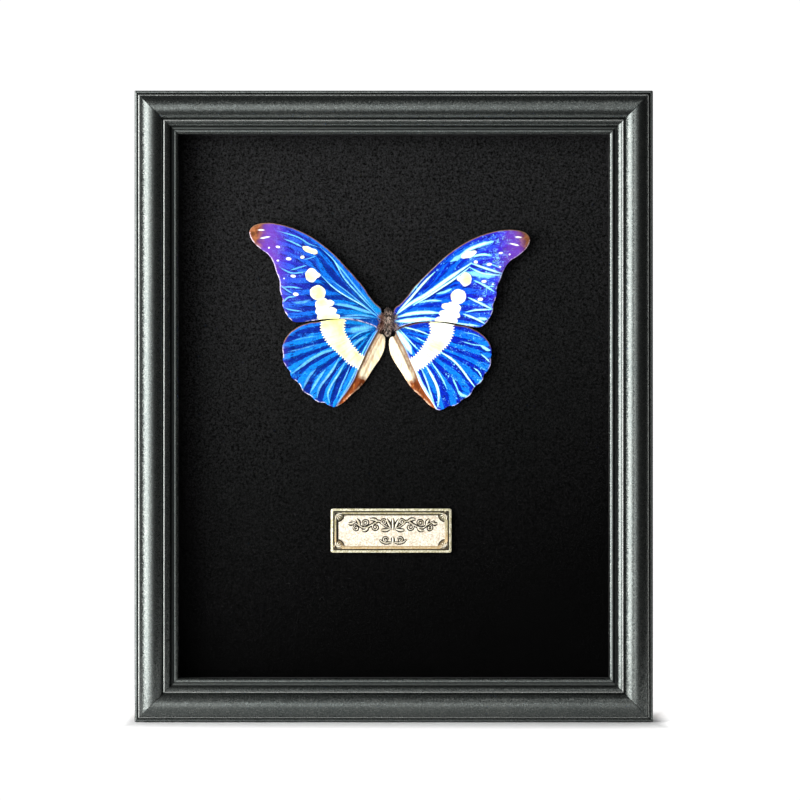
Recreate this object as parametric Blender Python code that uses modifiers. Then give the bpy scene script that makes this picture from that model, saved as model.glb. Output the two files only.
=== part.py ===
"""Framed butterfly specimen: a spread blue butterfly and a small cast plate on black velvet, in a glazed
shadow-box frame.

Metres, +Z up. The frame stands on its bottom edge and faces -Y. The origin is the middle of its footprint.
"""
import math

import bmesh
import bpy
from mathutils import Matrix, Vector

MM = 0.001

# ---------------------------------------------------------------- driving dimensions
GLASS_WIDTH = 203.2 * MM        # the frame takes the standard 8 x 10 inch glass
GLASS_HEIGHT = 254.0 * MM
LIP = 4.7 * MM                  # how far the moulding covers the glass
FACE = 19.7 * MM                # width of the moulding seen from the front
DEPTH = 26.0 * MM               # front crown of the moulding to its back face
GAP = 0.3 * MM                  # left between pieces that touch
GLASS_EDGE_PLAY = 0.6 * MM      # glass edge to the wall of the rabbet

# depths along Y, front to back
FRONT = -DEPTH / 2
BACK = DEPTH / 2
RABBET_FACE = -7.0 * MM         # back of the lip
GLASS_THICK = 2.0 * MM
SPACER_DEPTH = 9.0 * MM
VELVET_THICK = 3.0 * MM
BACKBOARD_THICK = 2.5 * MM
TAB_THICK = 0.4 * MM

GLASS_FRONT = RABBET_FACE + GAP
SPACER_FRONT = GLASS_FRONT + GLASS_THICK + GAP
VELVET_FRONT = SPACER_FRONT + SPACER_DEPTH + GAP
BACKBOARD_FRONT = VELVET_FRONT + VELVET_THICK + GAP
HARDWARE_FRONT = BACKBOARD_FRONT + BACKBOARD_THICK + GAP

# the moulding's front, measured inwards from the frame's outer edge
FILLET_WIDTH = 2.3 * MM         # the low band along the outer edge
FILLET_FRONT = -8.6 * MM
TORUS_MIDDLE = 7.6 * MM         # the big round of the moulding
TORUS_HALF = 5.05 * MM
TORUS_RADIUS = 6.0 * MM
BEAD_MIDDLE = 13.65 * MM        # the narrow raised bead inside it
BEAD_HALF = 0.65 * MM
BEAD_FRONT = -10.3 * MM
COVE_END = 18.3 * MM            # the hollow slope ends at the bead along the sight edge
COVE_DEEPEST = -8.5 * MM
SIGHT_BEAD_FRONT = -9.2 * MM

# hidden boards and strips
BOARD_PLAY = 0.5 * MM           # boards to the wall of the rabbet
SPACER_WIDTH = 4.0 * MM
SPACER_SETBACK = 0.4 * MM       # spacer behind the sight edge

# steel points and hanger on the back
TAB_WIDTH = 5.0 * MM
TAB_DRIVEN = 4.5 * MM           # length inside the rail
TAB_FREE = 9.0 * MM             # length over the backboard
TAB_SPREAD_X = 55.0 * MM
TAB_SPREAD_Z = 75.0 * MM
HANGER_LENGTH = 44.0 * MM
HANGER_HEIGHT = 9.0 * MM
HANGER_THICK = 0.7 * MM
HANGER_RISE = 0.9 * MM          # the toothed middle stands off the board
HANGER_BELOW_TOP = 30.0 * MM    # its middle below the top of the frame
HANGER_TEETH = 9
HANGER_TOOTH_PITCH = 2.8 * MM
HANGER_TOOTH_DEPTH = 1.3 * MM
HANGER_BEND_IN = 14.0 * MM      # where the raised middle ends
HANGER_BEND_OUT = 15.6 * MM
SCREW_SPREAD = 18.6 * MM
SCREW_HEAD_RADIUS = 2.2 * MM
SCREW_HEAD_HEIGHT = 0.9 * MM
SCREW_SHANK_RADIUS = 0.9 * MM
SCREW_HOLE_RADIUS = 1.2 * MM
SCREW_DEPTH = 1.7 * MM          # length in the backboard

# cast plate
PLATE_WIDTH = 54.7 * MM
PLATE_HEIGHT = 20.0 * MM
PLATE_THICK = 1.6 * MM
PLATE_CORNER = 1.0 * MM
PLATE_X = -1.2 * MM
PLATE_Z = 85.7 * MM
PLATE_RIM_X = 3.8 * MM          # edge of the plate to the sunk field
PLATE_RIM_Z = 2.9 * MM
PLATE_SUNK = 0.5 * MM

# butterfly: wing outlines are measured from the middle of the thorax, outwards and up, in mm
ROOT_X = -3.3 * MM
ROOT_Z = 180.3 * MM
WING_THICK = 0.3 * MM
FOREWING_Y = 0.5 * MM           # middle of the sheet
HINDWING_Y = 1.9 * MM
FOREWING_TURN = math.radians(-3.2)   # right wing against the mirror image of the left
FOREWING_SHIFT = (0.75 * MM, 0.0)
HINDWING_TURN = math.radians(-1.0)
HINDWING_SHIFT = (0.75 * MM, -1.0 * MM)
BODY_X = 0.75 * MM
BODY_LEAN = math.radians(1.6)
BODY_FAT = 2.6 * MM             # largest radius
ANTENNA_RADIUS = 0.18 * MM
ANTENNA_Y = 0.9 * MM

SIGHT_WIDTH = GLASS_WIDTH - 2 * LIP
SIGHT_HEIGHT = GLASS_HEIGHT - 2 * LIP
OUTER_WIDTH = SIGHT_WIDTH + 2 * FACE
OUTER_HEIGHT = SIGHT_HEIGHT + 2 * FACE
MIDDLE_Z = OUTER_HEIGHT / 2
RABBET_WALL = FACE - LIP - GLASS_EDGE_PLAY      # outer edge of the frame to the wall of the rabbet

FOREWING_OUTLINE = [
    (2.4, 5.2), (5.2, 8.3), (8.0, 11.8), (10.6, 15.8), (14.3, 20.2), (19.0, 25.4), (23.7, 30.3),
    (27.9, 33.9), (32.4, 37.2), (37.7, 40.2), (43.3, 42.5), (48.9, 44.0), (54.1, 44.5), (58.5, 43.9),
    (61.0, 42.4), (61.9, 40.4), (61.3, 37.8), (59.6, 35.3), (56.6, 32.6), (53.8, 30.6), (51.8, 28.0),
    (50.5, 25.0), (49.7, 22.2), (48.6, 19.6), (48.1, 17.0), (48.2, 14.9), (47.7, 12.4), (46.9, 10.1),
    (47.0, 7.8), (46.2, 5.2), (44.6, 2.3), (42.8, 0.4), (40.8, -0.35), (37.7, -0.2), (33.0, 0.4),
    (28.6, 1.0), (23.7, 1.2), (18.5, 1.1), (13.5, 0.5), (9.2, -0.7), (5.4, -2.2), (3.5, -3.3),
]
HINDWING_OUTLINE = [
    (4.2, -2.4), (10.0, -0.2), (17.0, 1.2), (24.0, 0.9), (29.8, 0.0), (32.5, -0.25), (35.1, -0.6),
    (37.6, -1.4), (40.2, -2.6), (42.6, -4.2), (44.4, -5.9), (45.8, -7.8), (46.7, -10.0), (47.0, -12.5),
    (46.7, -14.8), (46.8, -16.8), (46.3, -18.8), (45.0, -20.9), (43.7, -22.4), (43.2, -24.5),
    (42.4, -25.8), (40.7, -27.0), (39.2, -28.6), (38.2, -30.7), (36.9, -32.2), (34.2, -33.7),
    (32.5, -35.4), (30.3, -36.6), (27.9, -36.8), (26.0, -38.0), (23.7, -38.7), (21.4, -37.8),
    (18.6, -35.9), (16.0, -33.2), (13.0, -30.7), (10.4, -28.0), (8.3, -25.0), (6.2, -21.6), (4.2, -18.7),
    (2.3, -15.7), (1.1, -12.7), (0.6, -9.8), (0.7, -7.2), (1.6, -5.9), (3.2, -5.4),
]
# radius and height of the turned body: tail of the thorax, wing bases, neck, head
BODY_PROFILE = [
    (0.0, -5.9), (0.7, -5.7), (1.4, -4.9), (2.05, -3.5), (2.5, -1.7), (2.6, 0.2), (2.4, 1.9), (1.9, 3.2),
    (1.35, 3.9), (1.3, 4.3), (1.65, 4.9), (1.6, 5.6), (1.0, 6.2), (0.0, 6.45),
]
# from the head outwards and up, in mm from the middle of the thorax
ANTENNA_LEFT = [(-0.55, 6.9), (-1.6, 9.6), (-2.9, 13.4), (-4.2, 17.6), (-4.85, 21.2), (-4.95, 25.5), (-4.85, 29.6)]
ANTENNA_RIGHT = [(1.9, 6.9), (2.8, 9.8), (4.0, 13.8), (5.1, 18.0), (5.65, 21.8), (5.75, 25.6), (5.7, 29.6)]


# ---------------------------------------------------------------- tools of the trade
def clear_scene():
    for old in list(bpy.data.objects):
        bpy.data.objects.remove(old, do_unlink=True)


def new_collection(name):
    made = bpy.data.collections.new(name)
    bpy.context.scene.collection.children.link(made)
    return made


def material(name, colour, roughness, metallic=0.0, transmission=0.0):
    made = bpy.data.materials.new(name)
    made.use_nodes = True
    shader = made.node_tree.nodes["Principled BSDF"]
    shader.inputs["Base Color"].default_value = (*colour, 1.0)
    shader.inputs["Roughness"].default_value = roughness
    shader.inputs["Metallic"].default_value = metallic
    shader.inputs["Transmission Weight"].default_value = transmission
    return made


def add_object(name, mesh, finish):
    """Links a finished mesh as one piece of the part, with its own copy of the finish."""
    piece = bpy.data.objects.new(name, mesh)
    own = finish.copy()
    own.name = name + "_" + finish.name
    mesh.materials.clear()
    mesh.materials.append(own)
    PART.objects.link(piece)
    return piece


def mesh_of_curve(curve):
    """The closed mesh of a filled curve, with its loose caps welded on."""
    guide = bpy.data.objects.new("guide", curve)
    bpy.context.scene.collection.objects.link(guide)
    bpy.context.view_layer.update()
    mesh = bpy.data.meshes.new_from_object(guide.evaluated_get(bpy.context.evaluated_depsgraph_get()))
    bpy.data.objects.remove(guide, do_unlink=True)
    shape = bmesh.new()
    shape.from_mesh(mesh)
    bmesh.ops.remove_doubles(shape, verts=shape.verts, dist=0.002 * MM)
    bmesh.ops.recalc_face_normals(shape, faces=shape.faces)
    shape.to_mesh(mesh)
    shape.free()
    return mesh


def sheet_mesh(name, outline, thickness):
    """A flat outline in X and Y, given its thickness evenly on both sides of Z = 0."""
    curve = bpy.data.curves.new(name, "CURVE")
    curve.dimensions = "2D"
    curve.fill_mode = "BOTH"
    curve.extrude = thickness / 2
    spline = curve.splines.new("POLY")
    spline.points.add(len(outline) - 1)
    spline.use_cyclic_u = True
    for point, (x, y) in zip(spline.points, outline):
        point.co = (x, y, 0.0, 1.0)
    return mesh_of_curve(curve)


def rod_mesh(name, route, radius, tip_swell=1.0):
    """A round rod along a list of points, thicker by tip_swell over its last fifth."""
    curve = bpy.data.curves.new(name, "CURVE")
    curve.dimensions = "3D"
    curve.bevel_depth = radius
    curve.bevel_resolution = 1
    curve.use_fill_caps = True
    spline = curve.splines.new("POLY")
    spline.points.add(len(route) - 1)
    for i, (point, place) in enumerate(zip(spline.points, route)):
        point.co = (*place, 1.0)
        along = i / (len(route) - 1)
        point.radius = 1.0 + (tip_swell - 1.0) * min(1.0, max(0.0, (along - 0.75) / 0.15))
    return mesh_of_curve(curve)


def turned_object(name, profile, finish, steps=24):
    """A profile of (radius, height) from its foot up to its top, turned round Z."""
    mesh = bpy.data.meshes.new(name)
    shape = bmesh.new()
    corners = [shape.verts.new((radius, 0.0, height)) for radius, height in reversed(profile)]
    for above, below in zip(corners, corners[1:]):
        shape.edges.new((above, below))
    shape.to_mesh(mesh)
    shape.free()
    piece = add_object(name, mesh, finish)
    turn = piece.modifiers.new("turned", "SCREW")
    turn.axis = "Z"
    turn.angle = math.tau
    turn.steps = steps
    turn.render_steps = steps
    turn.use_merge_vertices = True
    turn.merge_threshold = 0.005 * MM
    return piece


def box(name, low, high, finish=None, rounding=0.0):
    """A box between two corners. With no finish it is a cutter."""
    middle = (Vector(low) + Vector(high)) / 2
    size = Vector(high) - Vector(low)
    mesh = bpy.data.meshes.new(name)
    shape = bmesh.new()
    bmesh.ops.create_cube(shape, size=1.0, matrix=Matrix.Diagonal((*size, 1.0)))
    shape.to_mesh(mesh)
    shape.free()
    if finish is None:
        piece = add_cutter(name, mesh)
    else:
        piece = add_object(name, mesh, finish)
    piece.location = middle
    if rounding:
        soft = piece.modifiers.new("eased edges", "BEVEL")
        soft.width = rounding
        soft.segments = 1
    return piece


def add_cutter(name, mesh):
    cutter = bpy.data.objects.new(name, mesh)
    cutter.hide_render = True
    cutter.display_type = "WIRE"
    CUTTERS.objects.link(cutter)
    return cutter


def cut(piece, cutter):
    knife = piece.modifiers.new("cut by " + cutter.name, "BOOLEAN")
    knife.operation = "DIFFERENCE"
    knife.object = cutter


def smooth_closed(points, steps):
    """A smooth closed line through hand-set points, with a number of steps from each to the next."""
    count = len(points)
    line = []
    for i in range(count):
        before, here, after, beyond = (Vector(points[(i + k) % count]) for k in (-1, 0, 1, 2))
        for step in range(steps):
            line.append(spline_point(before, here, after, beyond, step / steps))
    return line


def smooth_open(points, steps):
    """The same for a line with two ends."""
    ends = [2 * Vector(points[0]) - Vector(points[1])] + [Vector(p) for p in points]
    ends.append(2 * Vector(points[-1]) - Vector(points[-2]))
    line = []
    for i in range(1, len(ends) - 2):
        for step in range(steps):
            line.append(spline_point(*ends[i - 1:i + 3], step / steps))
    line.append(ends[-2])
    return line


def spline_point(before, here, after, beyond, t):
    return 0.5 * (2 * here + (after - before) * t + (2 * before - 5 * here + 4 * after - beyond) * t ** 2
                  + (3 * here - before - 3 * after + beyond) * t ** 3)


def arc(middle, radius, start, end, steps):
    """Points on an arc from one angle to another, both in degrees and included."""
    angles = [math.radians(start + (end - start) * i / steps) for i in range(steps + 1)]
    return [(middle[0] + radius * math.cos(a), middle[1] + radius * math.sin(a)) for a in angles]


def rounded_rectangle(width, height, radius, steps=4):
    line = []
    for corner, (sx, sy) in enumerate([(1, 1), (-1, 1), (-1, -1), (1, -1)]):
        middle = (sx * (width / 2 - radius), sy * (height / 2 - radius))
        line += arc(middle, radius, 90 * corner, 90 * corner + 90, steps)
    return line


# ---------------------------------------------------------------- frame
def moulding_profile():
    """The rail's section: (distance in from the outer edge, depth along Y), round its outside."""
    half_angle = math.degrees(math.asin(TORUS_HALF / TORUS_RADIUS))
    torus = arc((TORUS_MIDDLE, FRONT + TORUS_RADIUS), TORUS_RADIUS, 270 - half_angle, 270 + half_angle, 10)
    torus_foot = torus[-1][1]
    ease = 0.6 * MM
    section = [(0.0, BACK), (0.0, FILLET_FRONT + ease)]
    section += [(0.2 * ease, FILLET_FRONT + 0.2 * ease), (ease, FILLET_FRONT)]
    section += [(FILLET_WIDTH, FILLET_FRONT)]
    section += torus
    section += [(BEAD_MIDDLE - BEAD_HALF, torus_foot + ease)]
    section += arc((BEAD_MIDDLE, BEAD_FRONT + BEAD_HALF), BEAD_HALF, 210, 330, 4)
    section += [(BEAD_MIDDLE + BEAD_HALF, BEAD_FRONT + 1.0 * MM)]
    cove_start = section[-1]
    for step in (1, 2, 3):
        part = step / 4
        across = cove_start[0] + (COVE_END - cove_start[0]) * part
        section.append((across, cove_start[1] + (COVE_DEEPEST - cove_start[1]) * math.sin(part * math.pi / 2)))
    section.append((COVE_END, COVE_DEEPEST))
    bead_half = (FACE - COVE_END) / 2
    section += arc((COVE_END + bead_half, SIGHT_BEAD_FRONT + bead_half), bead_half, 200, 340, 4)
    section += [(FACE, RABBET_FACE), (RABBET_WALL, RABBET_FACE), (RABBET_WALL, BACK)]
    return section


def frame_rail(name, middle, inwards, length, finish):
    """One length of moulding. Each end is mitred: a point is drawn in by its distance from the outer edge."""
    mesh = sheet_mesh(name, moulding_profile(), length)
    joint_play = GAP / 2 * math.sqrt(2)
    for point in mesh.vertices:
        side = math.copysign(1.0, point.co.z)
        point.co.z -= side * (point.co.x + joint_play)
    rail = add_object(name, mesh, finish)
    back = Vector((0.0, 1.0, 0.0))
    along = inwards.cross(back)
    turn = Matrix((inwards, back, along)).transposed().to_4x4()
    rail.matrix_world = Matrix.Translation(middle) @ turn
    return rail


def frame_rails(finish):
    half_w, half_h = OUTER_WIDTH / 2, OUTER_HEIGHT / 2
    sides = {
        "top": (Vector((0, 0, OUTER_HEIGHT)), Vector((0, 0, -1)), OUTER_WIDTH),
        "bottom": (Vector((0, 0, 0)), Vector((0, 0, 1)), OUTER_WIDTH),
        "left": (Vector((-half_w, 0, half_h)), Vector((1, 0, 0)), OUTER_HEIGHT),
        "right": (Vector((half_w, 0, half_h)), Vector((-1, 0, 0)), OUTER_HEIGHT),
    }
    return {side: frame_rail("frame_rail_" + side, *place, finish) for side, place in sides.items()}


def retaining_tabs(rails, finish):
    """Two flat steel points in each rail, over the backboard. The rails are slotted for them."""
    for side, rail in rails.items():
        frame_matrix = rail.matrix_basis.copy()
        spread = TAB_SPREAD_X if side in ("top", "bottom") else TAB_SPREAD_Z
        for number, shift in enumerate((-spread, spread), start=1):
            name = "retaining_tab_%s_%d" % (side, number)
            tip = TAB_WIDTH / 2
            outline = [(-TAB_DRIVEN, 0.0), (-TAB_DRIVEN + tip, -tip), (TAB_FREE - tip, -tip)]
            outline += arc((TAB_FREE - tip, 0.0), tip, -75, 75, 6)
            outline += [(TAB_FREE - tip, tip), (-TAB_DRIVEN + tip, tip)]
            tab = add_object(name, sheet_mesh(name, outline, TAB_THICK), finish)
            place = Vector((RABBET_WALL, HARDWARE_FRONT + TAB_THICK / 2, shift))
            tab.matrix_world = frame_matrix @ Matrix.Translation(place) @ Matrix.Rotation(math.pi / 2, 4, "X")
            half = Vector((0.0, TAB_THICK / 2 + GAP, TAB_WIDTH / 2 + GAP))
            slot = box("slot_" + name, place - half - Vector((TAB_DRIVEN + GAP, 0, 0)),
                       place + half + Vector((GAP, 0, 0)))
            slot.matrix_world = frame_matrix @ Matrix.Translation(slot.location)
            cut(rail, slot)


# ---------------------------------------------------------------- what the frame holds
def glass_and_boards(glass, black_card, velvet, hardboard):
    def board(name, width, height, front, thick, finish, rounding):
        return box(name, (-width / 2, front, MIDDLE_Z - height / 2),
                   (width / 2, front + thick, MIDDLE_Z + height / 2), finish, rounding)

    board("glass_pane", GLASS_WIDTH, GLASS_HEIGHT, GLASS_FRONT, GLASS_THICK, glass, 0.2 * MM)
    board_w = OUTER_WIDTH - 2 * (RABBET_WALL + BOARD_PLAY)
    board_h = OUTER_HEIGHT - 2 * (RABBET_WALL + BOARD_PLAY)
    board("velvet_board", board_w, board_h, VELVET_FRONT, VELVET_THICK, velvet, 0.4 * MM)
    backboard = board("backboard", board_w, board_h, BACKBOARD_FRONT, BACKBOARD_THICK, hardboard, 0.2 * MM)

    inner_w = SIGHT_WIDTH / 2 + SPACER_SETBACK
    inner_h = SIGHT_HEIGHT / 2 + SPACER_SETBACK
    outer_w = inner_w + SPACER_WIDTH
    outer_h = inner_h + SPACER_WIDTH
    near, far = SPACER_FRONT, SPACER_FRONT + SPACER_DEPTH
    for side, sign in (("left", -1), ("right", 1)):
        across = sorted((sign * inner_w, sign * outer_w))
        box("spacer_" + side, (across[0], near, MIDDLE_Z - outer_h), (across[1], far, MIDDLE_Z + outer_h),
            black_card)
    for side, sign in (("bottom", -1), ("top", 1)):
        up = sorted((MIDDLE_Z + sign * inner_h, MIDDLE_Z + sign * outer_h))
        box("spacer_" + side, (-inner_w + GAP, near, up[0]), (inner_w - GAP, far, up[1]), black_card)
    return backboard


def sawtooth_hanger(backboard, steel):
    """The hanger, bent so that its toothed middle stands off the board, and its two screws."""
    half_l, half_h = HANGER_LENGTH / 2, HANGER_HEIGHT / 2
    line = [(-half_l, half_h), (-half_l, -half_h)]
    start = -HANGER_TEETH * HANGER_TOOTH_PITCH / 2
    for tooth in range(HANGER_TEETH):
        left = start + tooth * HANGER_TOOTH_PITCH
        line += [(left, -half_h), (left + HANGER_TOOTH_PITCH / 2, -half_h + HANGER_TOOTH_DEPTH)]
    line += [(-start, -half_h), (half_l, -half_h), (half_l, half_h)]
    mesh = sheet_mesh("hanger_plate", line, HANGER_THICK)
    shape = bmesh.new()
    shape.from_mesh(mesh)
    for bend in (HANGER_BEND_IN, HANGER_BEND_OUT):
        for side in (-1, 1):
            geometry = shape.verts[:] + shape.edges[:] + shape.faces[:]
            bmesh.ops.bisect_plane(shape, geom=geometry, plane_co=(side * bend, 0, 0), plane_no=(1, 0, 0))
    for point in shape.verts:
        if abs(point.co.x) < (HANGER_BEND_IN + HANGER_BEND_OUT) / 2:
            point.co.z -= HANGER_RISE
    shape.to_mesh(mesh)
    shape.free()
    hanger = add_object("hanger_plate", mesh, steel)
    height = OUTER_HEIGHT - HANGER_BELOW_TOP
    hanger.location = (0.0, HARDWARE_FRONT + HANGER_THICK / 2, height)
    hanger.rotation_euler = (math.pi / 2, 0.0, 0.0)

    under_head = HARDWARE_FRONT + HANGER_THICK + GAP
    shank_end = BACKBOARD_FRONT + BACKBOARD_THICK - SCREW_DEPTH
    shank = under_head - shank_end
    head = [(SCREW_HEAD_RADIUS * math.cos(a), shank + SCREW_HEAD_HEIGHT * math.sin(a))
            for a in (0.0, 0.35, 0.8, 1.2)]
    profile = [(0.0, 0.0), (SCREW_SHANK_RADIUS, 0.4 * MM), (SCREW_SHANK_RADIUS, shank)]
    profile += head + [(0.0, shank + SCREW_HEAD_HEIGHT)]
    for side, sign in (("left", -1), ("right", 1)):
        screw = turned_object("hanger_screw_" + side, profile, steel, steps=20)
        screw.location = (sign * SCREW_SPREAD, shank_end, height)
        screw.rotation_euler = (-math.pi / 2, 0.0, 0.0)
        mesh = bpy.data.meshes.new("screw_hole_" + side)
        shape = bmesh.new()
        bmesh.ops.create_cone(shape, cap_ends=True, segments=20, radius1=SCREW_HOLE_RADIUS,
                              radius2=SCREW_HOLE_RADIUS, depth=2 * (shank + GAP))
        shape.to_mesh(mesh)
        shape.free()
        hole = add_cutter("screw_hole_" + side, mesh)
        hole.location = (sign * SCREW_SPREAD, under_head, height)
        hole.rotation_euler = (math.pi / 2, 0.0, 0.0)
        cut(hanger, hole)
        cut(backboard, hole)


def cast_plate(finish):
    outline = rounded_rectangle(PLATE_WIDTH, PLATE_HEIGHT, PLATE_CORNER)
    plate = add_object("nameplate", sheet_mesh("nameplate", outline, PLATE_THICK), finish)
    back = VELVET_FRONT - GAP
    plate.location = (PLATE_X, back - PLATE_THICK / 2, PLATE_Z)
    plate.rotation_euler = (math.pi / 2, 0.0, 0.0)
    field = rounded_rectangle(PLATE_WIDTH - 2 * PLATE_RIM_X, PLATE_HEIGHT - 2 * PLATE_RIM_Z, PLATE_CORNER)
    cutter = add_cutter("sunk_field", sheet_mesh("sunk_field", field, 2 * PLATE_SUNK))
    cutter.location = (PLATE_X, back - PLATE_THICK, PLATE_Z)
    cutter.rotation_euler = (math.pi / 2, 0.0, 0.0)
    cut(plate, cutter)


# ---------------------------------------------------------------- butterfly
def wing(name, outline, depth, finish, right_turn=None, right_shift=(0.0, 0.0)):
    """One wing sheet. A right wing is the left one mirrored, then turned and shifted a little."""
    line = [Vector((-x * MM, z * MM)) for x, z in smooth_closed(outline, 3)]
    if right_turn is not None:
        turn = Matrix.Rotation(right_turn, 2)
        line = [turn @ Vector((-point.x, point.y)) + Vector(right_shift) for point in line]
    sheet = add_object(name, sheet_mesh(name, line, WING_THICK), finish)
    sheet.location = (ROOT_X, depth, ROOT_Z)
    sheet.rotation_euler = (math.pi / 2, 0.0, 0.0)


def butterfly(wing_finish, body_finish, antenna_finish):
    wing("forewing_left", FOREWING_OUTLINE, FOREWING_Y, wing_finish)
    wing("forewing_right", FOREWING_OUTLINE, FOREWING_Y, wing_finish, FOREWING_TURN, FOREWING_SHIFT)
    wing("hindwing_left", HINDWING_OUTLINE, HINDWING_Y, wing_finish)
    wing("hindwing_right", HINDWING_OUTLINE, HINDWING_Y, wing_finish, HINDWING_TURN, HINDWING_SHIFT)

    profile = [(radius * MM, height * MM) for radius, height in BODY_PROFILE]
    body = turned_object("butterfly_body", profile, body_finish)
    body.location = (ROOT_X + BODY_X, VELVET_FRONT - GAP - BODY_FAT, ROOT_Z)
    body.rotation_euler = (0.0, BODY_LEAN, 0.0)

    for side, feeler in (("left", ANTENNA_LEFT), ("right", ANTENNA_RIGHT)):
        route = [Vector((ROOT_X + x * MM, ANTENNA_Y, ROOT_Z + z * MM)) for x, z in smooth_open(feeler, 3)]
        name = "antenna_" + side
        add_object(name, rod_mesh(name, route, ANTENNA_RADIUS, tip_swell=1.5), antenna_finish)


def shade_round_pieces():
    for piece in PART.objects:
        if piece.type == "MESH" and len(piece.data.polygons):
            piece.data.shade_smooth()
            piece.data.set_sharp_from_angle(angle=math.radians(35))


def main():
    lacquer = material("gunmetal_lacquer", (0.075, 0.080, 0.078), 0.32, 0.75)
    glass = material("clear_glass", (0.95, 0.97, 0.96), 0.02, 0.0, 1.0)
    black_card = material("black_card", (0.012, 0.012, 0.013), 0.85)
    velvet = material("black_velvet", (0.010, 0.010, 0.011), 0.95)
    hardboard = material("hardboard", (0.22, 0.13, 0.07), 0.7)
    steel = material("zinc_steel", (0.55, 0.54, 0.51), 0.35, 1.0)
    cast = material("antique_cast_metal", (0.55, 0.50, 0.42), 0.42, 0.9)
    wing_blue = material("blue_scales", (0.02, 0.12, 0.55), 0.35, 0.5)
    hair = material("brown_hair", (0.10, 0.075, 0.055), 0.85)
    feeler = material("dark_feeler", (0.05, 0.04, 0.03), 0.6)

    rails = frame_rails(lacquer)
    retaining_tabs(rails, steel)
    backboard = glass_and_boards(glass, black_card, velvet, hardboard)
    sawtooth_hanger(backboard, steel)
    cast_plate(cast)
    butterfly(wing_blue, hair, feeler)
    shade_round_pieces()


clear_scene()
PART = new_collection("framed_butterfly_specimen")
CUTTERS = new_collection("cutters")
main()
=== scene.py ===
"""The looks of a framed butterfly specimen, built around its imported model."""
import math
import random
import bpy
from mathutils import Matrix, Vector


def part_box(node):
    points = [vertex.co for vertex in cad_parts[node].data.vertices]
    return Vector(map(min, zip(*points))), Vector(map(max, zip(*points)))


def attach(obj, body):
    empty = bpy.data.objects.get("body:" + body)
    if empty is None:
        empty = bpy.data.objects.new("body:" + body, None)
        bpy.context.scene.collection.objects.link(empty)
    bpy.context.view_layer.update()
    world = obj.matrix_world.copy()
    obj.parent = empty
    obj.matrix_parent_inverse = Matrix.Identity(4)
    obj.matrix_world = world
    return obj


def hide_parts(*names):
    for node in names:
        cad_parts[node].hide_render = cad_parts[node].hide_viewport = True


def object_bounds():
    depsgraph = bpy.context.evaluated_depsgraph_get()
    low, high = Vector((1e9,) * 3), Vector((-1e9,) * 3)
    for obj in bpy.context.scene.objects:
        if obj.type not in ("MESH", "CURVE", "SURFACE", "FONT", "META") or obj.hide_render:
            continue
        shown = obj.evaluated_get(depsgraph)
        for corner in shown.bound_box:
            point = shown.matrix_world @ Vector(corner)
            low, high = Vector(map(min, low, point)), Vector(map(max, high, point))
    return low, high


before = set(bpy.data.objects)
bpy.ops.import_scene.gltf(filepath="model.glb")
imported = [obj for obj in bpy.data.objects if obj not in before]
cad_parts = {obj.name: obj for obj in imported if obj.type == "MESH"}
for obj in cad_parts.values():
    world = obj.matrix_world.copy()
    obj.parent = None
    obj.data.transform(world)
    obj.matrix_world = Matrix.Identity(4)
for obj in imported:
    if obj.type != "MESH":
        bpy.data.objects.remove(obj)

from types import SimpleNamespace

import bmesh
import bpy
import numpy as np
from mathutils import Matrix, Vector, noise
from mathutils.geometry import delaunay_2d_cdt

CAD_BOX = [list(corner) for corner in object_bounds()]
MM = 0.001
BODY = "root"

# ---------------------------------------------------------------- places, worked out from the frame
FRAME_LOW, FRAME_HIGH = Vector(CAD_BOX[0]), Vector(CAD_BOX[1])
OUTER_WIDTH = FRAME_HIGH.x - FRAME_LOW.x
OUTER_HEIGHT = FRAME_HIGH.z - FRAME_LOW.z
MIDDLE_Z = (FRAME_HIGH.z + FRAME_LOW.z) / 2
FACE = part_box("frame_rail_bottom")[1].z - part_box("frame_rail_bottom")[0].z
GLASS_LOW, GLASS_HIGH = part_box("glass_pane")
GAP, GLASS_PLAY = 0.3 * MM, 0.6 * MM            # left before the glass, and round its edge
RABBET_FACE = GLASS_LOW.y - GAP
RABBET_WALL = (OUTER_WIDTH - (GLASS_HIGH.x - GLASS_LOW.x)) / 2 - GLASS_PLAY
PLATE_LOW, PLATE_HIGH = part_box("nameplate")
PLATE_MIDDLE = (PLATE_LOW + PLATE_HIGH) / 2
ROOT = Vector((-3.3 * MM, 0.0, 180.3 * MM))     # middle of the thorax, seen from the front


# ---------------------------------------------------------------- shader workshop
def srgb(red, green, blue):
    """A screen colour, 0 to 255 a channel, as the light it stands for."""
    def light(value):
        value /= 255
        return value / 12.92 if value <= 0.04045 else ((value + 0.055) / 1.055) ** 2.4
    return (light(red), light(green), light(blue))


class Wire:
    """A node's output. Arithmetic on wires adds Math nodes, so a formula is written as one."""

    def __init__(self, finish, socket):
        self.finish = finish
        self.socket = socket

    def math(self, operation, *values, clamp=False):
        return self.finish.node("Math", {"operation": operation, "use_clamp": clamp}, values)

    def __add__(self, other):
        return self.math("ADD", self, other)

    __radd__ = __add__

    def __sub__(self, other):
        return self.math("SUBTRACT", self, other)

    def __rsub__(self, other):
        return self.math("SUBTRACT", other, self)

    def __mul__(self, other):
        return self.math("MULTIPLY", self, other)

    __rmul__ = __mul__

    def __truediv__(self, other):
        return self.math("DIVIDE", self, other)

    def at_least(self, other):
        return self.math("MAXIMUM", self, other)

    def at_most(self, other):
        return self.math("MINIMUM", self, other)

    def clamp(self):
        return self.math("ADD", self, 0.0, clamp=True)

    def size(self):
        return self.math("ABSOLUTE", self)

    def ease(self, low, high):
        """0 up to low, 1 from high, eased between."""
        return self.finish.node("MapRange", {"interpolation_type": "SMOOTHSTEP"},
                                {"Value": self, "From Min": low, "From Max": high})


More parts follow.
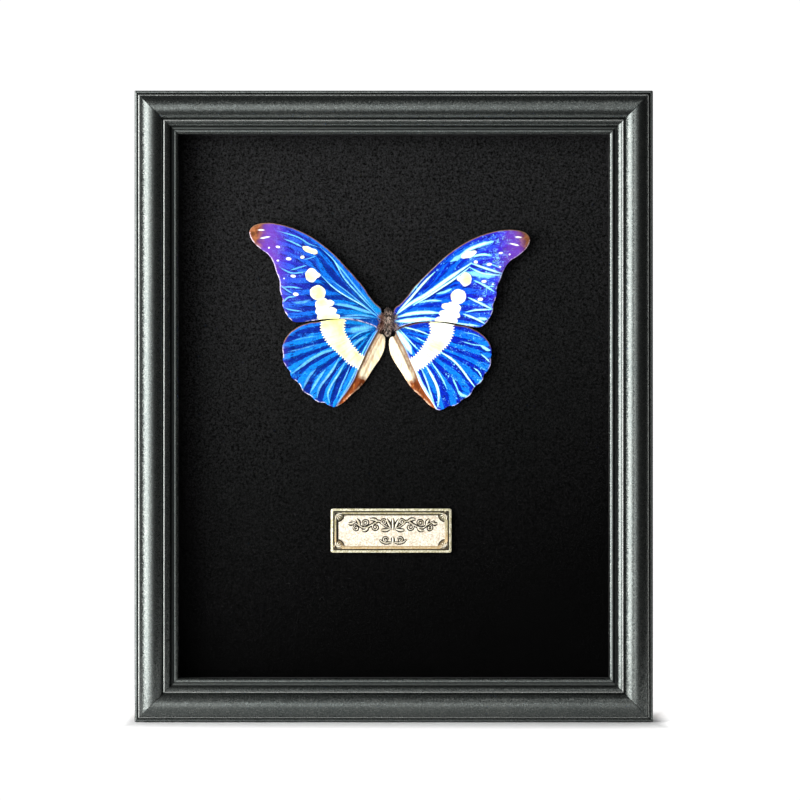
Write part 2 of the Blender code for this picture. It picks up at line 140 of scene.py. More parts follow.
class Nodes:
    """A node tree, with one way to add any node to it."""

    def __init__(self, tree):
        self.tree = tree

    def node(self, kind, settings=None, inputs=(), output=0):
        """Adds one node: its settings, then a value or a wire for each socket, in order or by name."""
        made = self.tree.nodes.new("ShaderNode" + kind)
        for name, value in (settings or {}).items():
            if name == "stops":
                self.set_stops(made.color_ramp, value)
            else:
                setattr(made, name, value)
        pairs = inputs.items() if isinstance(inputs, dict) else enumerate(inputs)
        for key, value in pairs:
            self.feed(made.inputs[key], value)
        return Wire(self, made.outputs[output])

    @staticmethod
    def set_stops(ramp, stops):
        for index, (place, colour) in enumerate(stops):
            stop = ramp.elements[index] if index < 2 else ramp.elements.new(place)
            stop.position = place
            stop.color = (*colour, 1.0)

    def feed(self, socket, value):
        if isinstance(value, Wire):
            self.tree.links.new(value.socket, socket)
        elif isinstance(value, tuple) and socket.type == "RGBA":
            socket.default_value = (*value, 1.0)
        else:
            socket.default_value = value

    def place(self):
        return self.node("TexCoord", output="Object")

    def attribute(self, name, output="Fac"):
        return self.node("Attribute", {"attribute_name": name}, output=output)

    def stretched(self, vector, scale):
        return self.node("Mapping", {}, {"Vector": vector, "Scale": scale})

    def noise(self, vector, scale, detail=2.0, roughness=0.5):
        return self.node("TexNoise", {}, {"Vector": vector, "Scale": scale, "Detail": detail,
                                          "Roughness": roughness})

    def cells(self, vector, scale):
        """A random value for each small cell."""
        colour = self.node("TexVoronoi", {}, {"Vector": vector, "Scale": scale}, output="Color")
        return self.node("SeparateColor", {}, [colour])

    def axes(self, vector):
        """The three numbers of a place, each as its own wire."""
        parts = self.node("SeparateXYZ", {}, [vector])
        return [Wire(self, parts.socket.node.outputs[axis]) for axis in "XYZ"]

    def mix(self, mask, first, second, how="MIX"):
        return self.node("Mix", {"data_type": "RGBA", "blend_type": how}, {0: mask, 6: first, 7: second},
                         output=2)

    def tilted(self, jitter, amount):
        """The surface normal, tipped a little another way on each flake."""
        normal = self.node("NewGeometry", output="Normal")
        centred = self.node("VectorMath", {"operation": "SUBTRACT"}, [jitter, (0.5, 0.5, 0.5)])
        scaled = self.node("VectorMath", {"operation": "SCALE"}, {0: centred, "Scale": amount})
        added = self.node("VectorMath", {"operation": "ADD"}, [normal, scaled])
        return self.node("VectorMath", {"operation": "NORMALIZE"}, [added])

    def bump(self, height, strength, distance):
        return self.node("Bump", {}, {"Strength": strength, "Distance": distance, "Height": height})


class Finish(Nodes):
    """One material while it is built. Constants go straight on the shader's own sockets."""

    def __init__(self, name, **constants):
        self.material = bpy.data.materials.new(name)
        self.material.use_nodes = True
        super().__init__(self.material.node_tree)
        self.shader = self.tree.nodes["Principled BSDF"]
        for socket, value in constants.items():
            self.shader.inputs[socket.replace("_", " ")].default_value = value

    def shade(self, **wires):
        for socket, value in wires.items():
            self.feed(self.shader.inputs[socket.replace("_", " ")], value)
        return self.material


# ---------------------------------------------------------------- modelling bench
def nothing_selected():
    if bpy.context.object and bpy.context.object.mode != "OBJECT":
        bpy.ops.object.mode_set(mode="OBJECT")
    bpy.ops.object.select_all(action="DESELECT")


def alone(piece):
    """Selects one piece and nothing else."""
    nothing_selected()
    piece.select_set(True)
    bpy.context.view_layer.objects.active = piece


def named(name):
    """Names the primitive that was just added."""
    piece = bpy.context.object
    piece.name = name
    piece.data.name = name
    return piece


def selected_shape(piece):
    return bmesh.from_edit_mesh(piece.data)


def grown(name, rings):
    """A closed body: a filled circle is shaped to the first ring, then extruded and shaped to each next."""
    nothing_selected()
    bpy.ops.mesh.primitive_circle_add(vertices=len(rings[0]), radius=10 * MM, fill_type="NGON")
    piece = named(name)
    bpy.ops.object.mode_set(mode="EDIT")
    before = [tuple(vertex.co) for vertex in sorted(selected_shape(piece).verts, key=lambda v: v.index)]
    for number, ring in enumerate(rings):
        if number:
            bpy.ops.mesh.extrude_region_move()
        shape = selected_shape(piece)
        face = next(f for f in shape.faces if f.select)
        order = {key(point): index for index, point in enumerate(before)}
        for vertex in face.verts:
            vertex.co = ring[order[key(vertex.co)]]
        bmesh.update_edit_mesh(piece.data)
        before = [tuple(Vector(point)) for point in ring]
    bpy.ops.mesh.select_all(action="SELECT")
    bpy.ops.mesh.normals_make_consistent(inside=False)
    bpy.ops.object.mode_set(mode="OBJECT")
    return piece


def key(point):
    return tuple(round(value * 1e7) for value in point)


def trim(piece, point, normal):
    """Cuts away what lies beyond a plane and closes the cut."""
    alone(piece)
    bpy.ops.object.mode_set(mode="EDIT")
    bpy.ops.mesh.select_all(action="SELECT")
    bpy.ops.mesh.bisect(plane_co=point, plane_no=normal, use_fill=True, clear_outer=True)
    bpy.ops.object.mode_set(mode="OBJECT")


def apply_modifier(piece, kind, **settings):
    alone(piece)
    made = piece.modifiers.new(kind.lower(), kind)
    for name, value in settings.items():
        setattr(made, name, value)
    bpy.ops.object.modifier_apply(modifier=made.name)


def smooth(piece, degrees):
    alone(piece)
    bpy.ops.object.shade_smooth_by_angle(angle=math.radians(degrees))


def settle(piece):
    """Moves the piece's place into its mesh."""
    piece.data.transform(piece.matrix_basis)
    piece.matrix_basis = Matrix.Identity(4)


def finished(piece, replaces, materials):
    """Settles a piece, gives it its materials and lets it ride on the body."""
    settle(piece)
    piece.data.materials.clear()
    for material in materials:
        piece.data.materials.append(material)
    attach(piece, BODY)
    if replaces:
        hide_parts(*replaces)


def mesh_piece(name, points, faces):
    mesh = bpy.data.meshes.new(name)
    mesh.from_pydata(points, [], faces)
    mesh.validate()
    piece = bpy.data.objects.new(name, mesh)
    bpy.context.scene.collection.objects.link(piece)
    return piece


def arc(middle, radius, start, end, steps):
    angles = [math.radians(start + (end - start) * i / steps) for i in range(steps + 1)]
    return [(middle[0] + radius * math.cos(a), middle[1] + radius * math.sin(a)) for a in angles]


def smooth_line(points, steps, closed=False):
    """A smooth line through given points."""
    count = len(points)
    places = np.array(points, float)
    line = []
    for i in range(count if closed else count - 1):
        if closed:
            before, here, after, beyond = (places[(i + k) % count] for k in (-1, 0, 1, 2))
        else:
            here, after = places[i], places[i + 1]
            before = places[i - 1] if i else 2 * here - after
            beyond = places[i + 2] if i + 2 < count else 2 * after - here
        for step in range(steps):
            t = step / steps
            line.append(0.5 * (2 * here + (after - before) * t + (2 * before - 5 * here + 4 * after - beyond)
                               * t ** 2 + (3 * here - before - 3 * after + beyond) * t ** 3))
    if not closed:
        line.append(places[-1])
    return np.array(line)


# ---------------------------------------------------------------- camera, light and floor
VIEW_WIDTH = 359.0 * MM         # width that the camera takes in at the front of the frame
VIEW_MIDDLE = Vector((2.8 * MM, 0.0, 144.8 * MM))
LENS = 200.0
SENSOR = 36.0
FLOOR_GLOW = 0.75
FLOOR_RADIUS, FLOOR_MIDDLE, FLOOR_PAINTED_SHADOW_REACH = 0.42, (0.0, 0.31, -0.2 * MM), 60 * MM
WORLD_WHITE, WORLD_DIM, FRONT_GLOW = 1.05, 0.05, 4.6


def set_camera():
    data = bpy.data.cameras.new("camera")
    data.lens = LENS
    data.sensor_width = SENSOR
    camera = bpy.data.objects.new("camera", data)
    distance = VIEW_WIDTH * LENS / SENSOR
    camera.location = (VIEW_MIDDLE.x, FRAME_LOW.y - distance, VIEW_MIDDLE.z)
    camera.rotation_euler = (math.pi / 2, 0.0, 0.0)
    data.clip_start = 0.05
    data.clip_end = 50.0
    bpy.context.scene.collection.objects.link(camera)
    bpy.context.scene.camera = camera


def softbox(name, place, aim, width, height, watts):
    data = bpy.data.lights.new(name, "AREA")
    data.shape = "RECTANGLE"
    data.size = width
    data.size_y = height
    data.energy = watts
    lamp = bpy.data.objects.new(name, data)
    lamp.location = place
    lamp.rotation_euler = (Vector(aim) - Vector(place)).to_track_quat("-Z", "Y").to_euler()
    lamp.visible_camera = False
    bpy.context.scene.collection.objects.link(lamp)


def set_lights():
    softbox("left_panel", place=(-0.45, -0.45, 0.20), aim=(0.5, -0.45, 0.17), width=0.62, height=0.72,
            watts=13.0)
    softbox("top_front", place=(0.40, -1.25, 1.25), aim=(0.0, 0.0, 0.18), width=0.60, height=0.60,
            watts=2.0)


def set_world():
    """White behind and below, as over a sweep of white card, and dim in front, where the flags stand."""
    world = bpy.data.worlds.new("studio")
    world.use_nodes = True
    bpy.context.scene.world = world
    studio = Nodes(world.node_tree)
    background = world.node_tree.nodes["Background"]
    background.inputs["Color"].default_value = (1.0, 1.0, 1.0, 1.0)
    direction = studio.node("TexCoord", output="Generated")
    across, ahead, above = studio.axes(direction)
    white = ahead.ease(0.35, 0.75)
    left_glow = (0.0 - across).ease(0.05, 0.10) * (across + 0.36).ease(0.0, 0.09)
    right_glow = across.ease(0.05, 0.08) * (0.24 - across).ease(0.0, 0.06) * 0.25
    glow = (left_glow + right_glow) * (0.0 - ahead).ease(0.2, 0.5) * (1.0 - above.size().ease(0.30, 0.46))
    lit = white * (WORLD_WHITE - WORLD_DIM) + glow * FRONT_GLOW + WORLD_DIM
    seen = studio.node("LightPath", output="Is Camera Ray")
    studio.feed(background.inputs["Strength"], lit.at_least(seen * WORLD_WHITE))


def lay_floor():
    """A pale disc that glows a little, and less where the frame stands on it, as a painted contact shadow."""
    nothing_selected()
    bpy.ops.mesh.primitive_circle_add(vertices=96, radius=FLOOR_RADIUS, fill_type="NGON",
                                      location=FLOOR_MIDDLE)
    floor = named("floor")
    settle(floor)
    finish = Finish("pale_floor", Roughness=0.7, Emission_Strength=FLOOR_GLOW)
    place = finish.place()
    x, y, _ = finish.axes(place)
    clear = ((x.size() - OUTER_WIDTH / 2) * 6.0).at_least(y.size() - FRAME_HIGH.y)
    grain = finish.noise(place, 90.0, 3.0)
    # painted contact shadow: the floor's glow fades to nothing at the frame's foot
    glow_with_painted_shadow = finish.mix(clear.ease(0.0, FLOOR_PAINTED_SHADOW_REACH), (0.0, 0.0, 0.0), (1.0, 1.0, 1.0))
    card = finish.mix(grain, (0.80, 0.80, 0.80), (0.84, 0.84, 0.84))
    floor.data.materials.append(finish.shade(Base_Color=card, Emission_Color=glow_with_painted_shadow))


# ---------------------------------------------------------------- frame moulding
TORUS_MIDDLE, TORUS_HALF, TORUS_RADIUS = 7.6 * MM, 5.05 * MM, 6.0 * MM
OVOLO_RADIUS, OVOLO_TILT = 3.2 * MM, (12.0, 76.0)
LOW_BAND_FRONT = -8.6 * MM
JOINT = 0.035 * MM              # half the gap at a mitre
OVERSPRAY = 2.5 * MM            # how far lacquer reaches over the bare back


def moulding_section():
    """The rail's section: (distance in from the outer edge, depth along Y), round its outside."""
    back, front = FRAME_HIGH.y, FRAME_LOW.y
    lean = math.degrees(math.asin(TORUS_HALF / TORUS_RADIUS))
    section = [(0.35 * MM, back), (0.0, back - 0.35 * MM)]
    section += arc((0.55 * MM, LOW_BAND_FRONT + 0.55 * MM), 0.55 * MM, 180, 270, 6)
    section += [(1.05 * MM, LOW_BAND_FRONT), (1.35 * MM, LOW_BAND_FRONT + 0.45 * MM)]
    section += arc((2.12 * MM, LOW_BAND_FRONT + 0.05 * MM), 0.66 * MM, 190, 348, 10)
    section += [(2.78 * MM, LOW_BAND_FRONT + 0.10 * MM)]
    section += arc((TORUS_MIDDLE, front + TORUS_RADIUS), TORUS_RADIUS, 270 - lean, 270 + lean, 44)
    section += [(12.80 * MM, -9.95 * MM)]
    section += arc((13.48 * MM, -10.05 * MM), 0.62 * MM, 192, 338, 10)
    for i in range(17):
        tilt = math.radians(OVOLO_TILT[0] + (OVOLO_TILT[1] - OVOLO_TILT[0]) * i / 16)
        first = math.radians(OVOLO_TILT[0])
        section.append((13.98 * MM + OVOLO_RADIUS * (math.sin(tilt) - math.sin(first)),
                        -10.45 * MM + OVOLO_RADIUS * (math.cos(first) - math.cos(tilt))))
    section += [(16.75 * MM, -7.95 * MM), (17.30 * MM, -7.98 * MM), (17.66 * MM, -8.72 * MM)]
    section += arc((18.20 * MM, -7.50 * MM), 1.50 * MM, 252, 360, 14)
    section += [(FACE, RABBET_FACE - 0.15 * MM), (FACE - 0.15 * MM, RABBET_FACE)]
    section += [(RABBET_WALL, RABBET_FACE), (RABBET_WALL, back - 0.2 * MM), (RABBET_WALL - 0.2 * MM, back)]
    return section


def moulding_rail(side, middle, inwards, length, materials):
    """One rail, cut off the moulding at both mitres, with the cut edges eased."""
    section = moulding_section()
    rings = [[(across, depth, end * (length / 2 + 1 * MM)) for across, depth in section] for end in (-1, 1)]
    rail = grown("moulding_" + side, rings)
    note_across(rail)
    for end in (-1, 1):
        slope = Vector((1.0, 0.0, end)).normalized()
        trim(rail, Vector((0.0, 0.0, end * length / 2)) - slope * JOINT, slope)
    ease_mitres(rail, length)
    back = Vector((0.0, 1.0, 0.0))
    turn = Matrix((inwards, back, inwards.cross(back))).transposed().to_4x4()
    rail.data.transform(Matrix.Translation(middle) @ turn)
    finished(rail, ["frame_rail_" + side], materials)
    for face in rail.data.polygons:
        face.material_index = 1 if face.normal.y > 0.9 and face.center.y > RABBET_FACE + 1 * MM else 0
    smooth(rail, 28)


def note_across(rail):
    """Keeps each point's distance in from the outer edge, for the lacquer's rubbed lines and its painted
    crease shade.
    """
    made = rail.data.attributes.new("across", "FLOAT", "POINT")
    made.data.foreach_set("value", [vertex.co.x / MM for vertex in rail.data.vertices])


def ease_mitres(rail, length):
    """Takes the sharp edge off the two cut ends of a rail."""
    alone(rail)
    bpy.ops.object.mode_set(mode="EDIT")
    bpy.ops.mesh.select_all(action="DESELECT")
    shape = selected_shape(rail)
    for edge in shape.edges:
        ends = [abs(abs(vertex.co.z) + vertex.co.x - length / 2) for vertex in edge.verts]
        edge.select_set(max(ends) < 0.2 * MM and abs(edge.verts[0].co.z + edge.verts[1].co.z) > length / 2)
    bmesh.update_edit_mesh(rail.data)
    bpy.ops.mesh.bevel(offset=0.10 * MM, segments=1, affect="EDGES")
    bpy.ops.mesh.select_all(action="SELECT")
    bpy.ops.mesh.normals_make_consistent(inside=False)
    bpy.ops.object.mode_set(mode="OBJECT")


def gunmetal_lacquer():
    """Dark metallic lacquer: fine flakes, a little orange peel, small bright nicks, with painted shade in the
    crease by the sight edge and on the outer flank.
    """
    finish = Finish("gunmetal_lacquer", Specular_IOR_Level=0.4)
    place = finish.place()
    tint = finish.node("TexVoronoi", {}, {"Vector": place, "Scale": 2500.0}, output="Color")
    flake = finish.node("SeparateColor", {}, [tint])
    fine = finish.noise(place, 1500.0, 2.0)
    cloud = finish.noise(place, 28.0, 2.0)
    dark = finish.mix(cloud, (0.075, 0.086, 0.084), (0.095, 0.103, 0.098))
    lit = finish.mix(flake.ease(0.5, 1.0) * 0.5, dark, (0.22, 0.23, 0.215))
    across = finish.attribute("across")
    rubbed = ridge(across, 2.1, 0.5) * 0.4 + ridge(across, 13.6, 0.5) * 0.5
    lit = finish.mix(rubbed * (0.35 + 0.5 * fine), lit, (0.55, 0.55, 0.53))
    x, y, z = finish.axes(place)
    # painted shade: the crease by the sight edge is painted near black, more on the upright rails, which the
    # light strikes from the side
    upright = (x.size() - (z - MIDDLE_Z).size() + (OUTER_HEIGHT - OUTER_WIDTH) / 2).ease(-0.1 * MM, 0.1 * MM)
    painted_crease_shade = ridge(across, 17.1, 1.2).ease(0.0, 0.35) * (0.5 + 0.5 * upright)
    lit = finish.mix(painted_crease_shade * 0.9, lit, (0.004, 0.005, 0.005))
    # painted shade: the rails' outer side faces are painted near black
    painted_flank_shade = (0.3 - across).ease(0.0, 0.2) * y.ease(LOW_BAND_FRONT + 0.5 * MM, LOW_BAND_FRONT + 1.5 * MM)
    lit = finish.mix(painted_flank_shade * 0.85, lit, (0.008, 0.009, 0.009))
    rough = 0.24 + 0.08 * flake + 0.04 * fine + 0.25 * painted_crease_shade
    return finish.shade(Base_Color=lit, Metallic=0.95, Roughness=rough, Normal=finish.tilted(tint, 0.14))


def ridge(across, middle, half):
    """1 on a line along the rail, fading out to 0 on both sides."""
    return (1.0 - (across - middle).size() / half).clamp()


def bare_wood():
    """Sawn softwood where the lacquer stops, with overspray near the outer edge."""
    finish = Finish("sawn_back", Roughness=0.8)
    place = finish.place()
    x, _, z = finish.axes(place)
    grain = finish.noise(finish.stretched(place, (1.0, 1.0, 0.35)), 160.0, 4.0, 0.65)
    ring = finish.noise(place, 35.0, 3.0)
    wood = finish.mix((grain * 0.7 + ring * 0.3).ease(0.3, 0.7), srgb(196, 160, 112), srgb(150, 110, 70))
    beside = x.size() - (OUTER_WIDTH / 2 - OVERSPRAY)
    reach = beside.at_least((z - MIDDLE_Z).size() - (OUTER_HEIGHT / 2 - OVERSPRAY))
    spray = (reach / MM + finish.noise(place, 300.0, 3.0) * 2.4).ease(0.6, 2.4)
    return finish.shade(Base_Color=finish.mix(spray, wood, (0.03, 0.032, 0.031)),
                        Normal=finish.bump(grain, 0.4, 0.15 * MM))


def build_frame():
    materials = [gunmetal_lacquer(), bare_wood()]
    middle = Vector((0.0, 0.0, MIDDLE_Z))
    up, across = Vector((0, 0, OUTER_HEIGHT / 2)), Vector((OUTER_WIDTH / 2, 0, 0))
    for side, out, length in (("top", up, OUTER_WIDTH), ("bottom", -up, OUTER_WIDTH),
                              ("left", -across, OUTER_HEIGHT), ("right", across, OUTER_HEIGHT)):
        moulding_rail(side, middle + out, -out.normalized(), length, materials)


# ---------------------------------------------------------------- flat pieces that the frame holds
def give(node, material):
    """A CAD node keeps its shape and gets a material."""
    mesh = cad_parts[node].data
    mesh.materials.clear()
    mesh.materials.append(material)


def clear_glass():
    """Coated picture glass: nearly nothing straight on, a mirror when it is seen along its face."""
    finish = Finish("clear_glass", Roughness=0.01, Metallic=1.0, Base_Color=(0.95, 1.0, 0.97, 1.0))
    bloom = finish.noise(finish.place(), 14.0, 3.0).ease(0.55, 0.8)
    slant = finish.node("LayerWeight", {}, {"Blend": 0.5}, output="Facing")
    gloss = slant.math("POWER", slant, 5.0) * 0.96 + 0.034
    return finish.shade(Alpha=gloss * gloss * 1.2 + bloom * 0.0004)


def black_velvet():
    """Short black pile that takes a little light, its colour painted lighter towards the top left as painted
    light.
    """
    finish = Finish("black_velvet", Roughness=1.0, Sheen_Weight=0.015, Sheen_Roughness=0.4,
                    Specular_IOR_Level=0.03)
    place = finish.place()
    pile = finish.noise(place, 1500.0, 1.0, 0.6)
    blotch = finish.noise(place, 800.0, 1.0)
    speck = (pile * 0.6 + blotch * 0.4).ease(0.30, 0.72)
    across, _, height = finish.axes(place)
    # painted light and shade: the pile's colour rises from the bottom right to the top left, where more light
    # falls
    up = ((height - across * 0.30) / OUTER_HEIGHT).ease(0.06, 0.95)
    low = finish.mix(speck, (0.0, 0.0, 0.0), (0.0012, 0.0012, 0.0012))
    high = finish.mix(speck, (0.0010, 0.0010, 0.0010), (0.0200, 0.0200, 0.0205))
    return finish.shade(Base_Color=finish.mix(up, low, high), Normal=finish.bump(pile, 0.6, 0.2 * MM))


def black_card():
    """Dyed card with a short fibre."""
    finish = Finish("black_card", Roughness=0.9)
    fibre = finish.noise(finish.place(), 1200.0, 3.0, 0.7)
    return finish.shade(Base_Color=finish.mix(fibre, (0.004, 0.004, 0.004), (0.012, 0.012, 0.012)),
                        Normal=finish.bump(fibre, 0.3, 0.05 * MM))


def hardboard():
    """Brown pressed board: matted fibres, darker flecks, a faint mesh of the press."""
    finish = Finish("hardboard")
    place = finish.place()
    mat = finish.noise(finish.stretched(place, (1.0, 1.0, 2.2)), 420.0, 5.0, 0.7)
    fleck = finish.cells(place, 900.0).ease(0.86, 0.97)
    cloud = finish.noise(place, 16.0, 3.0)
    brown = finish.mix((mat * 0.6 + cloud * 0.4).ease(0.3, 0.7), srgb(126, 90, 58), srgb(92, 62, 38))
    return finish.shade(Base_Color=finish.mix(fleck * 0.6, brown, srgb(58, 38, 24)),
                        Roughness=0.55 + 0.25 * mat, Normal=finish.bump(mat, 0.35, 0.1 * MM))


def zinc_steel():
    """Drawn wire and pressed plate with a thin grey bloom."""
    finish = Finish("zinc_steel")
    place = finish.place()
    drawn = finish.noise(finish.stretched(place, (0.15, 1.0, 1.0)), 1400.0, 3.0)
    bloom = finish.noise(place, 220.0, 3.0).ease(0.45, 0.75)
    colour = finish.mix(bloom, srgb(196, 194, 186), srgb(158, 150, 132))
    return finish.shade(Base_Color=colour, Metallic=1.0 - bloom * 0.15,
                        Roughness=0.24 + 0.2 * drawn + 0.15 * bloom,
                        Normal=finish.bump(drawn, 0.2, 0.03 * MM))


def finish_flat_pieces():
    give("glass_pane", clear_glass())
    give("velvet_board", black_velvet())
    card = black_card()
    for side in ("top", "bottom", "left", "right"):
        give("spacer_" + side, card)
    give("backboard", hardboard())
    steel = zinc_steel()
    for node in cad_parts:
        if node.startswith(("retaining_tab", "hanger")):
            give(node, steel)


# ---------------------------------------------------------------- wings
# Places on a wing are in mm from the middle of the thorax, outwards and up, on the left wing.
# A right wing is its mirror image, turned and shifted a little.
PLACING = {
    "forewing_left": (-1, 0.0, (0.0, 0.0)), "forewing_right": (1, -3.2, (0.75, 0.0)),
    "hindwing_left": (-1, 0.0, (0.0, 0.0)), "hindwing_right": (1, -1.0, (0.75, -1.0)),
}
WING_ROOT = {"forewing": (3.0, 1.5), "hindwing": (3.0, -2.5)}       # where a wing's rays start
WING_DEPTH = {"hindwing": 1.9 * MM, "forewing": 0.5 * MM}
GRID = 0.30                     # spacing of a wing's mesh, in mm
SHEET = 0.12 * MM
NOWHERE = -50.0                 # depth inside a marking that a wing doesn't have

VEINS = {
    "forewing": [
        [(3.6, 2.6), (10, 9.4), (19, 19), (23.4, 27.8), (29.7, 33.4), (38, 38.6), (48, 42.6)],
        [(3.9, 3.0), (12, 10.4), (21.8, 20.5), (31, 30.8), (42, 36.4), (52, 40.2), (60.5, 41)],
        [(4.5, 2.4), (10.1, 6.6), (19, 11.9), (24.6, 15.9), (29.7, 21.3)],
        [(29.7, 21.3), (33, 28.6), (42, 32.4), (50, 34.8), (59, 36.2)],
        [(29.7, 21.3), (37, 26), (45, 29.6), (54.2, 31)],
        [(28.5, 19.6), (35, 21.5), (42, 23.0), (50.2, 24.6)],
        [(25.6, 17.0), (32, 17.4), (40, 17.0), (48.1, 17)],
        [(19, 11.9), (28, 11.7), (38, 11.8), (47.2, 11.6)],
        [(11, 7.2), (24.6, 7.7), (36, 6.6), (46.4, 6.0)],
        [(4, 1.2), (14, 3.0), (26, 3.2), (36, 2.2), (43.6, 1.4)],
    ],
    "hindwing": [
        [(4, -3), (14, -1.5), (26, -1.2), (38, -3.6), (44.6, -7.0)],
        [(4, -3), (13, -4), (24, -6.5), (35, -9.5), (46.9, -12.5)],
        [(14, -6.6), (22, -9.4), (33, -13), (46.6, -17.6)],
        [(5, -3.5), (14, -6.6), (22, -11.2), (34, -17), (38.8, -20.5), (42.9, -24)],
        [(14, -9.6), (22, -15.0), (31.7, -21.2), (36.2, -26.5), (37.9, -31.5)],
        [(8, -6), (16, -13), (24.2, -21.6), (30.2, -29.1), (31.8, -35.6)],
        [(8, -6), (12.5, -13), (18.6, -20.2), (23.2, -28.3), (26.0, -37.6)],
        [(4.5, -5), (9.6, -14.5), (12.6, -21.6), (16.8, -29.8), (22.7, -37.7)],
    ],
}
# cream spots of the forewing: middle, half length, half width, lean in degrees
SPOTS = [
    (34.7, 32.2, 3.7, 1.35, 22), (38.0, 29.0, 0.8, 0.6, 0), (33.9, 20.9, 2.7, 3.1, 0),
    (31.6, 20.9, 1.7, 1.1, 0), (31.1, 13.0, 3.5, 3.35, 10), (28.9, 7.6, 3.3, 3.0, 0),
    (25.6, 8.2, 1.9, 1.5, 0), (25.0, 5.0, 2.4, 1.5, 0), (28.6, 4.6, 3.6, 2.0, 0),
    (26.3, 1.9, 5.2, 1.9, 0), (23.8, 0.2, 3.6, 1.4, 0),
]
DOTS = [
    (56.6, 41.3, 1.5, 0.33, 0), (55.0, 37.9, 2.1, 0.38, 170), (53.1, 33.3, 0.45, 0.45, 0),
    (49.1, 33.7, 0.95, 0.5, 10), (49.1, 27.5, 0.6, 0.4, 0), (44.2, 28.3, 1.2, 0.65, 5),
    (42.2, 20.5, 1.2, 0.65, 5), (41.0, 12.3, 1.25, 0.72, 5), (46.3, 19.4, 0.35, 0.35, 0),
]
# edges of the hindwing's cream band, and the crease where the wing folds down along the body
BAND_OUTER = [(29.3, 3.0), (29.6, -0.6), (29.6, -3.6), (28.4, -6.8), (26.3, -9.9), (23.9, -12.4),
              (21.5, -14.7), (19.8, -16.4), (17.3, -18.7), (15.1, -20.1), (12.8, -21.4)]
BAND_INNER = [(18.6, 3.0), (18.6, 0.4), (19.2, -1.8), (18.9, -4.9), (17.5, -7.4), (15.9, -10.1),
              (13.9, -12.6), (11.8, -14.8), (9.2, -15.8)]
FOLD = [(3.4, -3.4), (4.4, -5.0), (7.1, -9.9), (9.7, -15.2), (11.2, -18.6), (13, -22.4), (14.6, -26.4),
        (17.3, -31.0), (20.6, -35.4), (22.9, -39.4)]
